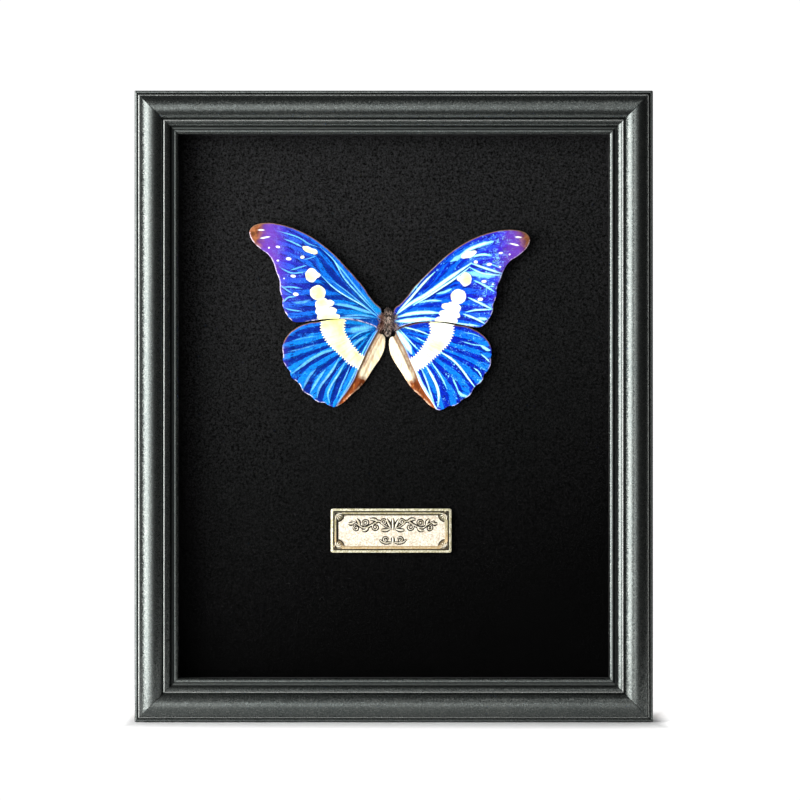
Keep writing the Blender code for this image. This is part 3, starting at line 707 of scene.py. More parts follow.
# painted glints: painted highlight lines along the veins, each with painted shade under it: width, strength,
# points; mm from the middle of the thorax, to the right and up
PAINTED_GLINTS = {
    "forewing_left": [
        (0.7, 0.62, [(-3.6, 2.6), (-10.5, 10), (-19, 19.4), (-23.6, 27.4), (-30, 33.6)]),
        (0.7, 0.50, [(-5.5, 5.6), (-13, 14.5), (-19.5, 22.6), (-25.5, 29.6)]),
        (0.6, 0.80, [(-4.5, 2.4), (-10.6, 7.1), (-19, 11.9), (-24.6, 15.9), (-30.2, 21.6)]),
        (0.6, 0.45, [(-5, 3), (-17.1, 12.9), (-21.8, 16.4), (-26, 19.2)]),
        (0.7, 0.55, [(-37.6, 33.4), (-42.4, 35.8), (-46.6, 37.4)]),
        (0.7, 0.50, [(-30.2, 33.4), (-34.9, 35.0), (-39.1, 37.6), (-43.3, 39.2), (-50.3, 41.2)]),
        (0.6, 0.35, [(-31, 30), (-34.5, 28.6), (-38, 27.8)]),
        (1.8, 0.42, [(-5, 3.1), (-12, 5.4), (-18, 7.2), (-24.6, 7.9)]),
        (1.4, 0.30, [(-5, 1.8), (-12, 2.8), (-21, 2.3)]),
        (0.8, 0.42, [(-36, 25.4), (-40, 24.2), (-44, 23)]),
        (0.9, 0.40, [(-36, 22.6), (-42, 21.8), (-46, 23.2), (-49, 25)]),
        (0.8, 0.50, [(-38, 14.8), (-43, 15.6), (-47.6, 15.4)]),
        (0.7, 0.62, [(-42.5, 12.7), (-45, 14.2), (-48.2, 16.6)]),
        (0.8, 0.62, [(-41, 11.2), (-44.5, 10.8), (-46.9, 8.4)]),
        (0.8, 0.50, [(-38, 4.6), (-43, 5.2), (-46.5, 6.3)]),
        (2.2, 0.25, [(-34, 10), (-38, 8.6), (-43, 8.6)]),
        (0.7, 0.45, [(-7, 1.4), (-15, 1.6), (-25, 1.7)]),
    ],
    "forewing_right": [
        (0.9, 0.85, [(5, 4.2), (11.1, 10.7), (16.7, 17.3), (21.9, 22.4)]),
        (0.8, 0.35, [(9.5, 10.6), (15, 17.8), (21.5, 24.6), (28, 30)]),
        (1.5, 0.95, [(4.6, 3.3), (11.1, 8.2), (18.1, 12.3), (25.1, 17.3), (30.7, 21.2), (38.4, 26.4)]),
        (0.7, 0.90, [(12, 7.3), (18.1, 10.9), (25.1, 15.5), (30.7, 19.2), (37.7, 24.6)]),
        (1.0, 0.70, [(38.4, 26.2), (43, 24.6), (48.5, 22.8), (52.5, 21.6)]),
        (0.9, 0.60, [(37.6, 24.4), (42.5, 22.0), (47, 21.2), (52.4, 20.8)]),
        (3.0, 0.28, [(36, 22.4), (42, 21.0), (49, 20.2)]),
        (0.9, 0.50, [(14.9, 8.4), (19.5, 9.4), (25.1, 9.3)]),
        (1.5, 0.78, [(4.6, 1.9), (11.1, 3.5), (18.1, 4.1), (24.5, 3.8)]),
        (1.9, 0.90, [(4.1, 0), (8.8, 0.3), (15.8, 0.9), (22, 1.2)]),
        (0.9, 0.55, [(39.6, 18.6), (44, 16.4), (48.9, 13.3)]),
        (0.9, 0.72, [(36.9, 10.8), (42, 8.4), (48.0, 5.4)]),
        (0.8, 0.60, [(35.6, 4.2), (41, 5.2), (47.8, 5.4)]),
        (0.9, 0.72, [(34.6, 3.4), (40.4, 1.2), (44.6, -1.1)]),
        (1.5, 0.55, [(41, 1.4), (45.4, 1.0)]),
        (1.6, 0.65, [(33, 29.8), (38, 32.8), (43, 34.8), (48.2, 36.2)]),
        (1.2, 0.55, [(38.6, 29.2), (43, 30.2), (47.5, 29.9)]),
        (2.2, 0.35, [(29, 27.0), (33.5, 29.4), (38, 30)]),
        (1.2, 0.40, [(29.5, 14.8), (26.5, 13.4), (22.5, 12.4)]),
        (0.6, 0.35, [(43, 26), (48, 25.6), (52.4, 23.4)]),
        (0.7, 0.60, [(30, -0.6), (36, -1.3), (42, -2.0)]),
    ],
    "hindwing_left": [
        (1.6, 0.45, [(-21, -12.0), (-28, -13.9), (-34, -17), (-38.8, -20.5), (-42.9, -23.6)]),
        (1.2, 0.45, [(-31.7, -21.2), (-35.0, -25.0), (-37.7, -30.4)]),
        (1.3, 0.50, [(-27.6, -21.6), (-30.6, -25.7), (-34.6, -32.4)]),
        (1.2, 0.62, [(-21.6, -16.8), (-24.2, -21.6), (-27.6, -26.1), (-30.2, -29.8), (-31.5, -34.6)]),
        (1.0, 0.60, [(-18.6, -18.2), (-21.6, -23.5), (-24.8, -28.6), (-26.5, -32.8), (-25.6, -37.2)]),
        (0.9, 0.40, [(-16.4, -19.7), (-18.2, -24.2), (-20.5, -29.1), (-22.6, -35)]),
        (0.8, 0.55, [(-5.0, -4.2), (-8.4, -9.6), (-11.6, -16.0), (-14.2, -22.6), (-18.0, -30.2),
                     (-22.6, -37.2)]),
        (0.7, 0.40, [(-6, -3.4), (-12, -5.2), (-18, -9.4)]),
        (4.2, 0.34, [(-6, -2.2), (-12, -3.4), (-18, -4.6)]),
        (1.4, 0.38, [(-9, -6.6), (-13.4, -9.2), (-16.2, -12)]),
        (1.0, 0.25, [(-30, -6.4), (-37, -7.4), (-44, -9.0)]),
        (1.0, 0.25, [(-30, -9.8), (-38, -12.2), (-46, -14.0)]),
    ],
    "hindwing_right": [
        (2.4, 0.95, [(4.9, -4), (7.6, -8.3), (9.8, -11.5), (11.3, -14.5)]),
        (0.5, 0.60, [(5.3, -2.9), (12, -10.4), (15, -13.2)]),
        (0.6, 0.65, [(6.2, -2.2), (12, -3.5), (17.3, -5.2), (20.2, -6.9)]),
        (0.5, 0.50, [(13.0, -7.0), (18, -9.6), (19.6, -10.8)]),
        (0.9, 0.80, [(22.9, -12.9), (29.2, -16.8), (33.4, -20.9), (36.7, -25.4), (40.3, -30.1)]),
        (0.6, 0.50, [(19.9, -17.9), (23.3, -22.7), (25.5, -26.5), (27.4, -30.5)]),
        (1.1, 0.85, [(17.6, -19.4), (20.3, -24.2), (22.5, -28.7), (23.6, -33.2), (23.2, -38.6)]),
        (0.8, 0.62, [(15.4, -20.6), (18, -26.5), (19.8, -32), (21.6, -37)]),
        (1.7, 0.95, [(12.6, -20.4), (14.7, -26.1), (17.3, -31.1), (20.3, -36.4), (22.4, -39.2)]),
        (0.6, 0.55, [(39.3, -20.9), (41.6, -22.6), (43.2, -25.6)]),
        (0.7, 0.50, [(42.6, -14.6), (45, -16.6), (46.8, -18.6)]),
        (1.5, 0.50, [(42.6, -10.8), (45.4, -12.6), (46.9, -13.0)]),
        (1.4, 0.45, [(32.0, -31.0), (34.0, -33.2), (36.6, -33.8)]),
        (0.9, 0.30, [(29.6, -25), (31.4, -29), (33, -32.4)]),
        (0.9, 0.22, [(33, -8.6), (39, -10.4), (45, -11)]),
        (0.7, 0.22, [(34, -5.0), (39, -5.6), (43.6, -7.6)]),
    ],
}


def wing_kind(name):
    return name.split("_")[0]


def placed_to_own(points, name):
    """From mm to the right and up of the thorax to the wing's own mm outwards and up."""
    mirror, turn, shift = PLACING[name]
    places = np.array(points, float) - np.array(shift)
    angle = math.radians(-turn)
    turned = places @ np.array([[math.cos(angle), math.sin(angle)], [-math.sin(angle), math.cos(angle)]])
    turned[:, 0] *= mirror
    return turned


def line_distance(points, line):
    """Distance to a line of points, where along it the nearest place is, and which side: + is on the left."""
    best = np.full(len(points), 1e9)
    along = np.zeros(len(points))
    side = np.ones(len(points))
    run = 0.0
    for start, end in zip(line[:-1], line[1:]):
        step = end - start
        length = math.hypot(*step)
        if length < 1e-9:
            continue
        t = np.clip((points - start) @ step / length ** 2, 0.0, 1.0)
        off = points - (start + t[:, None] * step)
        gap = np.hypot(off[:, 0], off[:, 1])
        near = gap < best
        best[near] = gap[near]
        along[near] = run + t[near] * length
        side[near] = np.where(step[0] * off[near, 1] - step[1] * off[near, 0] >= 0, 1.0, -1.0)
        run += length
    return best, along, side


def inside(points, outline):
    """Which points lie inside a closed outline."""
    found = np.zeros(len(points), bool)
    x, y = points[:, 0], points[:, 1]
    for (x0, y0), (x1, y1) in zip(outline, np.roll(outline, -1, axis=0)):
        if y0 != y1:
            crosses = (y0 > y) != (y1 > y)
            found ^= crosses & (x < (x1 - x0) * (y - y0) / (y1 - y0) + x0)
    return found


def wing_outline(name):
    """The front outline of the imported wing, in mm from the thorax, smoothed and finely ragged."""
    shape = bmesh.new()
    shape.from_mesh(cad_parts[name].data)
    bmesh.ops.remove_doubles(shape, verts=shape.verts, dist=0.001 * MM)
    front = {face for face in shape.faces if face.normal.y < -0.9}
    follow = {}
    for face in front:
        for loop in face.loops:
            if sum(other in front for other in loop.edge.link_faces) == 1:
                follow[loop.vert] = loop.link_loop_next.vert
    start = here = next(iter(sorted(follow, key=lambda v: (v.co.x, v.co.z))))
    line = []
    while True:
        line.append(((here.co.x - ROOT.x) / MM, (here.co.z - ROOT.z) / MM))
        here = follow[here]
        if here == start:
            break
    shape.free()
    fine = smooth_line(line, 3, closed=True)
    ragged = [noise.noise(Vector((x * 1.7, z * 1.7, 3.0))) * 0.10 for x, z in fine]
    towards = np.roll(fine, -1, axis=0) - np.roll(fine, 1, axis=0)
    towards /= np.hypot(towards[:, 0], towards[:, 1])[:, None]
    return fine + np.stack([towards[:, 1], -towards[:, 0]], 1) * np.array(ragged)[:, None]


def wing_net(outline):
    """Points and triangles that fill an outline at an even spacing."""
    low, high = outline.min(0), outline.max(0)
    rows = np.arange(low[1], high[1], GRID * 0.87)
    grid = []
    for number, height in enumerate(rows):
        across = np.arange(low[0] + (number % 2) * GRID / 2, high[0], GRID)
        grid.append(np.stack([across, np.full(len(across), height)], 1))
    grid = np.concatenate(grid)
    grid = grid[inside(grid, outline)]
    grid = grid[line_distance(grid, np.vstack([outline, outline[:1]]))[0] > 0.45 * GRID]
    points = [Vector(p) for p in np.vstack([outline, grid])]
    ring = list(range(len(outline)))
    made = delaunay_2d_cdt(points, [], [ring], 1, 1e-6)
    return np.array([tuple(p) for p in made[0]]), [tuple(face) for face in made[2]]


def blob_field(points, blobs):
    """Depth inside the nearest of some leaning ellipses, in mm, below 0 outside."""
    field = np.full(len(points), NOWHERE)
    for x, y, half_long, half_wide, lean in blobs:
        angle = math.radians(lean)
        off = points - np.array((x, y))
        along = off @ np.array((math.cos(angle), math.sin(angle)))
        across = off @ np.array((-math.sin(angle), math.cos(angle)))
        reach = np.hypot(along / half_long, across / half_wide)
        field = np.maximum(field, (1.0 - reach) * min(half_long, half_wide))
    return field


def painted_glint_fields(points, streaks, mirror):
    """The painted highlight lines, brightest on their lines and thin at both ends, and the painted shade
    under each.
    """
    light, dark = np.zeros(len(points)), np.zeros(len(points))
    for width, strength, line in streaks:
        fine = smooth_line(line, 5)
        gap, along, side = line_distance(points, fine)
        total = np.hypot(*np.diff(fine, axis=0).T).sum()
        end = np.clip(np.minimum(along, total - along) / (0.25 * total), 0.0, 1.0)
        half = 0.42 * width * (0.40 + 0.60 * end)
        light = np.maximum(light, strength * np.exp(-(gap / half) ** 2) * (0.55 + 0.45 * end))
        under = -side * mirror * gap - half - 0.28
        dark = np.maximum(dark, strength * np.exp(-(under / 0.30) ** 2) * end)
    return light, dark


def vein_fields(points, kind):
    """Distance to the nearest vein, and the side of it."""
    best, sides = np.full(len(points), 1e9), np.zeros(len(points))
    for line in VEINS[kind]:
        gap, _, side = line_distance(points, smooth_line(line, 5))
        near = gap < best
        best[near], sides[near] = gap[near], side[near]
    return best, sides


def rim_fields(points, outline):
    """Distance to the wing's edge, and how far that edge faces up."""
    closed = np.vstack([outline, outline[:1]])
    gap, along, _ = line_distance(points, closed)
    steps = np.diff(closed, axis=0)
    lengths = np.hypot(steps[:, 0], steps[:, 1])
    starts = np.concatenate([[0.0], np.cumsum(lengths)])
    index = np.clip(np.searchsorted(starts, along, side="right") - 1, 0, len(steps) - 1)
    area = 0.5 * np.sum(closed[:-1, 0] * closed[1:, 1] - closed[1:, 0] * closed[:-1, 1])
    up = -steps[:, 0] / lengths * math.copysign(1.0, area)
    blur = np.convolve(np.concatenate([up[-8:], up, up[:8]]), np.ones(17) / 17, "valid")
    return gap, blur[index]


def wing_fields(name, points, outline):
    """Everything that the wing's material and relief need to know at each point."""
    kind = wing_kind(name)
    own = placed_to_own(points, name)
    vein, vein_side = vein_fields(own, kind)
    rim, rim_up = rim_fields(points, outline)
    streak, shade = painted_glint_fields(points, PAINTED_GLINTS[name], PLACING[name][0])
    from_root = own - np.array(WING_ROOT[kind])
    fields = {"own_x": own[:, 0], "own_z": own[:, 1], "vein": vein, "vein_side": vein_side, "rim": rim,
              "rim_up": rim_up, "streak": streak, "shade": shade,
              # pleat: painted light and shade, one side of each vein lighter and the other darker, the same
              # way round on both wings
              "pleat": vein_side * PLACING[name][0] * vein * np.exp(-vein / 1.5) * 1.8,
              "reach": np.hypot(*from_root.T), "turn": np.arctan2(from_root[:, 1], from_root[:, 0])}
    if kind == "forewing":
        fields["cream"] = blob_field(own, SPOTS)
        fields["dots"] = blob_field(own, DOTS)
        fields["teeth"] = np.zeros(len(points))
        fields["fold"] = np.full(len(points), NOWHERE)
        return fields
    outer, inner = smooth_line(BAND_OUTER, 4), smooth_line(BAND_INNER, 4)
    band = np.vstack([outer, inner[::-1]])
    gap_outer, along_outer, _ = line_distance(own, outer)
    gap_inner, along_inner, _ = line_distance(own, inner)
    within = np.where(inside(own, band), 1.0, -1.0)
    fields["cream"] = within * np.minimum(gap_outer, gap_inner)
    fields["teeth"] = np.where(gap_outer < gap_inner, along_outer, along_inner + 0.37)
    fields["dots"] = np.full(len(points), NOWHERE)
    gap, _, side = line_distance(own, smooth_line(FOLD, 4))
    fields["fold"] = -side * gap
    return fields


def wing_relief(name, fields):
    """How far the sheet stands towards the viewer, in mm: raised veins, pleats, and a slight sag."""
    vein, rim = fields["vein"], fields["rim"]
    reach = np.hypot(fields["own_x"], fields["own_z"])
    raised = 0.13 * np.exp(-(vein / 0.32) ** 2) * np.clip(reach / 10, 0.4, 1.0)
    pleat = 0.16 * fields["vein_side"] * (vein * np.exp(-vein / 1.4))
    wave = np.array([noise.noise(Vector((x * 0.09, z * 0.09, 7.0))) for x, z in
                     zip(fields["own_x"], fields["own_z"])]) * 0.28
    edge = -0.10 * np.exp(-rim / 0.5)
    relief = raised + pleat + wave + edge
    if wing_kind(name) == "hindwing":
        fold = np.clip(fields["fold"], 0.0, 6.0)
        relief -= 0.20 * fold + 0.25 * np.sin(np.clip(fold, 0, 4) * 1.9)
    return np.clip(relief, -2.2, 0.55)


def wing(name, depth, material):
    """One wing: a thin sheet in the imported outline, shaped by its veins, that carries its fields."""
    outline = wing_outline(name)
    points, faces = wing_net(outline)
    fields = wing_fields(name, points, outline)
    relief = wing_relief(name, fields)
    places = [(ROOT.x + x * MM, depth - rise * MM, ROOT.z + z * MM) for (x, z), rise in zip(points, relief)]
    sheet = mesh_piece("scaled_" + name, places, faces)
    for field, values in fields.items():
        if field != "vein_side":
            made = sheet.data.attributes.new(field, "FLOAT", "POINT")
            made.data.foreach_set("value", values.astype(np.float32))
    shape = bmesh.new()
    shape.from_mesh(sheet.data)
    bmesh.ops.recalc_face_normals(shape, faces=shape.faces)
    if sum(face.normal.y * face.calc_area() for face in shape.faces) > 0:
        bmesh.ops.reverse_faces(shape, faces=shape.faces)
    shape.to_mesh(sheet.data)
    shape.free()
    apply_modifier(sheet, "SOLIDIFY", thickness=SHEET, offset=-1.0)
    sheet.data.shade_smooth()
    finished(sheet, [name], [material])


def wing_wires(finish):
    """The fields on a wing's points and the noises that the finish of its scales is worked out from."""
    on = SimpleNamespace(place=finish.place(), x=finish.attribute("own_x"), z=finish.attribute("own_z"))
    for field in ("vein", "rim", "rim_up", "streak", "shade", "cream", "dots", "fold", "teeth", "reach",
                  "turn", "pleat"):
        setattr(on, field, finish.attribute(field))
    on.soft = finish.noise(on.place, 110.0, 3.0)
    on.patch = finish.noise(on.place, 420.0, 3.0, 0.6)
    on.scales = finish.noise(on.place, 1900.0, 2.0, 0.7)
    ray = finish.node("CombineXYZ", {}, [on.turn * 16.0, on.reach * 0.10, 0.0])
    fine_ray = finish.node("CombineXYZ", {}, [on.turn * 46.0, on.reach * 0.28, 4.0])
    on.rays = finish.noise(ray, 1.0, 3.0, 0.6)
    on.fine_rays = finish.noise(fine_ray, 1.0, 3.0, 0.65)
    return on


def blue_ground(finish, on, looks):
    """Zones of blue in rays from the wing's root, with painted light and shade on the two sides of each
    pleat, then dark veins, the painted shade under each highlight line, the painted highlight lines and
    painted glint flecks.
    """
    # the pleat term paints one side of each vein darker and the other lighter
    tone = on.rays * 0.38 + on.fine_rays * 0.34 + on.soft * 0.14 + on.patch * 0.14 - on.pleat * 0.13
    blue = finish.mix(tone.ease(0.41, 0.62), looks.deep, looks.bright)
    inner = (1.0 - (on.reach - 6.0) / 20.0).clamp() * (1.0 - on.z.ease(8.0, 16.0))
    blue = finish.mix(inner * (0.12 + tone.ease(0.40, 0.64) * 0.8), blue, looks.azure)
    below = (0.0 - on.z).ease(0.0, 8.0) * tone.ease(0.40, 0.60)
    blue = finish.mix(below * 0.32, blue, srgb(8, 150, 238))
    outer = (on.x - 33.0 + on.soft * 8.0).ease(0.0, 18.0) * (on.z + 10.0).ease(0.0, 30.0)
    blue = finish.mix(outer * (0.30 + on.rays * 0.65), blue, looks.violet)
    blue = finish.mix((1.0 - on.fine_rays.ease(0.36, 0.47)) * 0.7, blue, srgb(2, 16, 84))
    dark = ((1.0 - on.vein / 0.30) * 0.55).clamp() * (1.0 - on.streak * 1.6).clamp()
    # painted shade under each highlight line, on top of the dark veins
    blue = finish.mix((dark + on.shade * 0.95).clamp(), blue, srgb(2, 14, 60))
    # painted highlight: glint colour along each line, near white at its core
    on.lit = (on.streak * (0.55 + 0.85 * on.patch) * looks.shine).clamp()
    blue = finish.mix(on.lit.ease(0.08, 0.36) * 0.95, blue, looks.glint)
    blue = finish.mix(on.lit.ease(0.40, 0.85), blue, srgb(222, 248, 255))
    # painted glints: small specks of glint colour, stronger on the right wings
    flecks = (on.scales * 0.45 + on.patch * 0.35 + on.rays * 0.20 + outer * 0.05).ease(0.56, 0.66)
    blue = finish.mix(flecks * looks.speckle, blue, looks.glint)
    grain = finish.mix(on.scales.ease(0.25, 0.75), (0.62, 0.62, 0.66), (1.3, 1.3, 1.3))
    return finish.mix(1.0, blue, grain, how="MULTIPLY")


def wing_edges(finish, on, looks, blue):
    """A violet and brown tip, a brown leading edge and a pale broken fringe."""
    past = on.x - looks.brown_from
    blue = finish.mix((past + 8.5 + on.patch * 4.0).ease(-4.0, 6.0) * 0.8, blue, srgb(110, 58, 160))
    tip = (past + (on.z - 38.0) * 0.25 + on.patch * 3.2).ease(-2.4, 3.4)
    blue = finish.mix(tip, blue, finish.mix(on.patch.ease(0.3, 0.7), srgb(84, 46, 22), srgb(156, 96, 60)))
    costa = (on.rim_up - 0.1).ease(0.0, 0.35) * (1.0 - (on.rim - 0.25 + on.patch * 0.5) / 0.7).ease(0.0, 0.8)
    blue = finish.mix(costa, blue, finish.mix(on.patch, srgb(60, 38, 30), srgb(160, 122, 96)))
    fringe = (1.0 - on.rim / 0.55).clamp() * (0.2 - on.rim_up).ease(0.0, 0.2) * on.patch.ease(0.44, 0.58)
    return finish.mix(fringe, blue, srgb(226, 216, 232))


def cream_marks(finish, on, looks, blue):
    """The forewing's spots and dots and the hindwing's toothed band."""
    saw = on.teeth.math("PINGPONG", on.teeth, 0.62) * 1.9 - 0.55
    jag = saw * on.teeth.ease(0.0, 0.02) + (on.patch - 0.5) * 1.0
    on.mark = (on.cream + jag).ease(-0.12, 0.12)
    pale = finish.mix(on.soft.ease(0.35, 0.65), looks.chalky, looks.butter)
    pale = finish.mix((1.0 - on.cream / 1.1).clamp() * 0.35, pale, srgb(255, 255, 244))
    pale = finish.mix((1.0 - on.vein / 0.22).clamp() * 0.30, pale, srgb(206, 186, 96))
    blue = finish.mix(on.mark, blue, pale)
    return finish.mix((on.dots + (on.patch - 0.5) * 0.25).ease(-0.12, 0.12), blue, srgb(244, 248, 255))


def body_fold(finish, on, blue):
    """The hindwing's downy fold along the body: beige, with painted shadow in brown along the crease, rust at
    its lower end.
    """
    ragged = on.patch - 0.5
    plume = finish.noise(finish.stretched(on.place, (1.0, 1.0, 0.22)), 1300.0, 3.0)
    beige = finish.mix(plume.ease(0.3, 0.7), srgb(240, 206, 160), srgb(255, 252, 222))
    # painted shadow: brown along the crease, where the fold turns down from the blue
    beige = finish.mix((1.3 - on.fold / 1.8 + ragged).clamp() * 0.9, beige, srgb(98, 58, 38))
    stripe = (1.0 - (on.fold - 1.9 + ragged * 1.2).size() / 0.75).clamp() * (on.z + 22.5).ease(0.0, 3.0)
    beige = finish.mix(stripe * 0.75, beige, srgb(110, 70, 50))
    rust = finish.mix((on.z + 33.0 + on.patch * 5.0).ease(-6.0, 8.0), srgb(158, 78, 34), srgb(112, 54, 24))
    rust = finish.mix(plume.ease(0.55, 0.8) * 0.6, rust, srgb(226, 146, 66))
    rust = finish.mix((1.0 - on.rim / 0.9).clamp() * on.patch.ease(0.4, 0.6), rust, srgb(250, 208, 170))
    beige = finish.mix((on.z + 24.2 + ragged * 4.0 + on.fold * 0.35).ease(-1.6, 1.6), rust, beige)
    beige = finish.mix((on.z + 9.5).ease(0.0, 6.0) * 0.45, beige, srgb(120, 92, 78))
    blue = finish.mix((on.fold + ragged * 0.35).ease(-0.1, 0.14), blue, beige)
    crease = (1.0 - (on.fold + 0.28).size() / 0.4).clamp() * 0.55
    return finish.mix(crease, blue, srgb(196, 214, 240))


def wing_scales(name, looks):
    """Blue scales over a dark wing, with cream marks, violet and brown edges and a downy fold."""
    finish = Finish(name, Specular_IOR_Level=0.05)
    on = wing_wires(finish)
    colour = blue_ground(finish, on, looks)
    colour = wing_edges(finish, on, looks, colour)
    colour = cream_marks(finish, on, looks, colour)
    colour = body_fold(finish, on, colour)
    chalk = on.mark.at_least((on.fold * 4.0).clamp())
    return finish.shade(Base_Color=colour, Metallic=(1.0 - chalk) * 0.12,
                        Roughness=0.55 + chalk * 0.25 - on.lit * 0.08,
                        Normal=finish.bump(on.scales * 0.6 + on.patch * 0.4, 0.35, 0.05 * MM))


def build_wings():
    """The two sides take the light differently, so each is its own lit copy of one finish: the right side's
    blues, glints, flecks and cream are painted brighter, as painted light.
    """
    left = wing_scales("blue_scales_left", SimpleNamespace(
        deep=srgb(2, 36, 132), bright=srgb(10, 104, 212), glint=srgb(96, 182, 248), azure=srgb(8, 136, 200),
        violet=srgb(58, 44, 200), chalky=srgb(255, 255, 206), butter=srgb(255, 253, 140), brown_from=57.5,
        speckle=0.30, shine=1.0))
    right = wing_scales("blue_scales_right", SimpleNamespace(
        deep=srgb(2, 34, 176), bright=srgb(8, 100, 252), glint=srgb(140, 232, 255), azure=srgb(10, 100, 222),
        violet=srgb(56, 30, 220), chalky=srgb(255, 255, 252), butter=srgb(255, 254, 178), brown_from=59.4,
        speckle=0.9, shine=1.4))
    for kind, depth in WING_DEPTH.items():
        wing(kind + "_left", depth, left)
        wing(kind + "_right", depth, right)


# ---------------------------------------------------------------- body of the butterfly
BODY_AXIS = Vector((ROOT.x + 0.75 * MM, 2.0 * MM, ROOT.z))
# name, middle (to the right, out, up) and half sizes, in mm from the middle of the thorax
BODY_LOBES = [
    ("thorax", (0.0, 0.0, 0.9), (2.15, 2.3, 3.3)),
    ("abdomen", (-0.25, 0.5, -3.1), (1.35, 1.5, 2.9)),
    ("head", (-0.15, 0.3, 4.7), (1.25, 1.35, 1.15)),
    ("eye_left", (-1.1, -0.1, 4.95), (0.62, 0.75, 0.8)),
    ("eye_right", (0.85, -0.1, 4.95), (0.62, 0.75, 0.8)),
    ("palp_left", (-0.62, -0.35, 5.85), (0.32, 0.36, 0.62)),
    ("palp_right", (0.12, -0.35, 5.80), (0.32, 0.36, 0.60)),
]
FEELER_DEPTH = 0.9 * MM
HAIRS = [(1500, 1.5), (700, 1.0), (260, 0.8)]         # number and length on thorax, abdomen and head
# tufts over the wing roots: middle and aim to the right and up, spread, number, length
TUFTS = [
    ((-1.7, 1.6), (-0.8, 0.9), 0.7, 200, 2.0), ((2.9, 1.6), (0.8, 0.9), 0.7, 200, 2.0),
    ((-1.9, -1.6), (-0.8, -0.8), 0.8, 200, 2.4), ((2.9, -1.6), (0.8, -0.8), 0.8, 200, 2.4),
]
ANTENNAE = {
    "antenna_left": [(-0.55, 5.4), (-1.6, 9.6), (-2.9, 13.4), (-4.2, 17.6), (-4.85, 21.2), (-4.95, 25.5),
                     (-4.85, 29.5)],
    "antenna_right": [(1.6, 5.4), (2.8, 9.8), (4.0, 13.8), (5.1, 18.0), (5.65, 21.8), (5.75, 25.6),
                      (5.7, 29.5)],
}


def join(pieces, name):
    nothing_selected()
    for piece in pieces:
        piece.select_set(True)
    bpy.context.view_layer.objects.active = pieces[0]
    bpy.ops.object.join()
    pieces[0].name = name
    pieces[0].data.name = name
    return pieces[0]


def lobe(name, middle, half):
    """A sphere drawn out to a lobe. The abdomen gets its rings and every lobe a little unevenness."""
    nothing_selected()
    bpy.ops.mesh.primitive_uv_sphere_add(segments=48, ring_count=32, radius=1.0)
    piece = named(name)
    ringed = name == "abdomen"
    for vertex in piece.data.vertices:
        x, y, z = vertex.co
        girth = 1.0 + (0.05 * math.cos(z * 16.0) if ringed else 0.0)
        bump = 1.0 + 0.05 * noise.noise(Vector((x * 2.4, y * 2.4, z * 2.4 + half[0])))
        stretch = (x * half[0] * girth * bump, y * half[1] * girth * bump, z * half[2] * bump)
        vertex.co = [(start + reach) * MM for start, reach in zip(middle, stretch)]
    piece.data.transform(Matrix.Translation(BODY_AXIS))
    smooth(piece, 60)
    return piece


def strand_mesh(name, strands):
    """Tapered three-sided hairs. Each is a root, a way to grow, a droop, a length, a girth and a tone."""
    points, faces, tones = [], [], []
    for root, way, droop, length, girth, tone in strands:
        side = way.cross(Vector((0.3, 1.0, 0.2))).normalized()
        first = len(points)
        for step in range(4):
            t = step / 3
            spot = root + (way * t + droop * t * t) * length
            width = girth * (1.0 - 0.8 * t)
            for corner in range(3):
                turn = Matrix.Rotation(corner * math.tau / 3, 3, way)
                points.append(spot + turn @ side * width)
                tones.append(tone * (0.55 + 0.45 * t))
        for step in range(3):
            low = first + step * 3
            for corner in range(3):
                after = (corner + 1) % 3
                faces.append((low + corner, low + after, low + 3 + after, low + 3 + corner))
        faces.append((first + 2, first + 1, first))
        faces.append((first + 9, first + 10, first + 11))
    piece = mesh_piece(name, points, faces)
    made = piece.data.attributes.new("tone", "FLOAT", "POINT")
    made.data.foreach_set("value", tones)
    return piece


def lobe_hairs(middle, half, count, length, draw):
    """Hairs all over a lobe, combed back."""
    strands = []
    for index in range(count):
        height = 1.0 - 2.0 * (index + 0.5) / count
        turn = index * math.pi * (3.0 - math.sqrt(5.0))
        ring = math.sqrt(1.0 - height * height)
        normal = Vector((ring * math.cos(turn), ring * math.sin(turn), height))
        if normal.y > 0.35:
            continue
        root = BODY_AXIS + Vector([(m + n * h * 0.97) * MM for m, n, h in zip(middle, normal, half)])
        stray = Vector((draw.uniform(-0.5, 0.5), draw.uniform(-0.3, 0.3), draw.uniform(-0.5, 0.5)))
        way = (normal * 0.75 + stray + Vector((0, 0, -0.55))).normalized()
        droop = Vector((0.0, 0.12, -0.25))
        strands.append((root, way, droop, length * draw.uniform(0.5, 1.1) * MM,
                        draw.uniform(0.05, 0.09) * MM, clump(root, draw)))
    return strands


def clump(root, draw):
    """The tone of a hair: near ones share it, so that they read as matted locks."""
    lock = noise.noise(root * 1900.0)
    return min(max(0.45 + 2.2 * lock + draw.uniform(-0.18, 0.18), 0.0), 1.0)


def tuft_hairs(middle, aim, spread, count, length, draw):
    """A tuft that fans out over a wing's root."""
    strands = []
    for _ in range(count):
        root = ROOT + Vector((middle[0] + draw.gauss(0, spread), 0.0, middle[1] + draw.gauss(0, spread))) * MM
        root.y = draw.uniform(-0.3, 0.5) * MM
        way = Vector((aim[0] + draw.gauss(0, 0.35), -0.12 + draw.gauss(0, 0.10),
                      aim[1] + draw.gauss(0, 0.35))).normalized()
        droop = Vector((0.0, 0.15, -0.1))
        strands.append((root, way, droop, length * draw.uniform(0.5, 1.1) * MM,
                        draw.uniform(0.045, 0.075) * MM, clump(root, draw) * 0.8))
    return strands


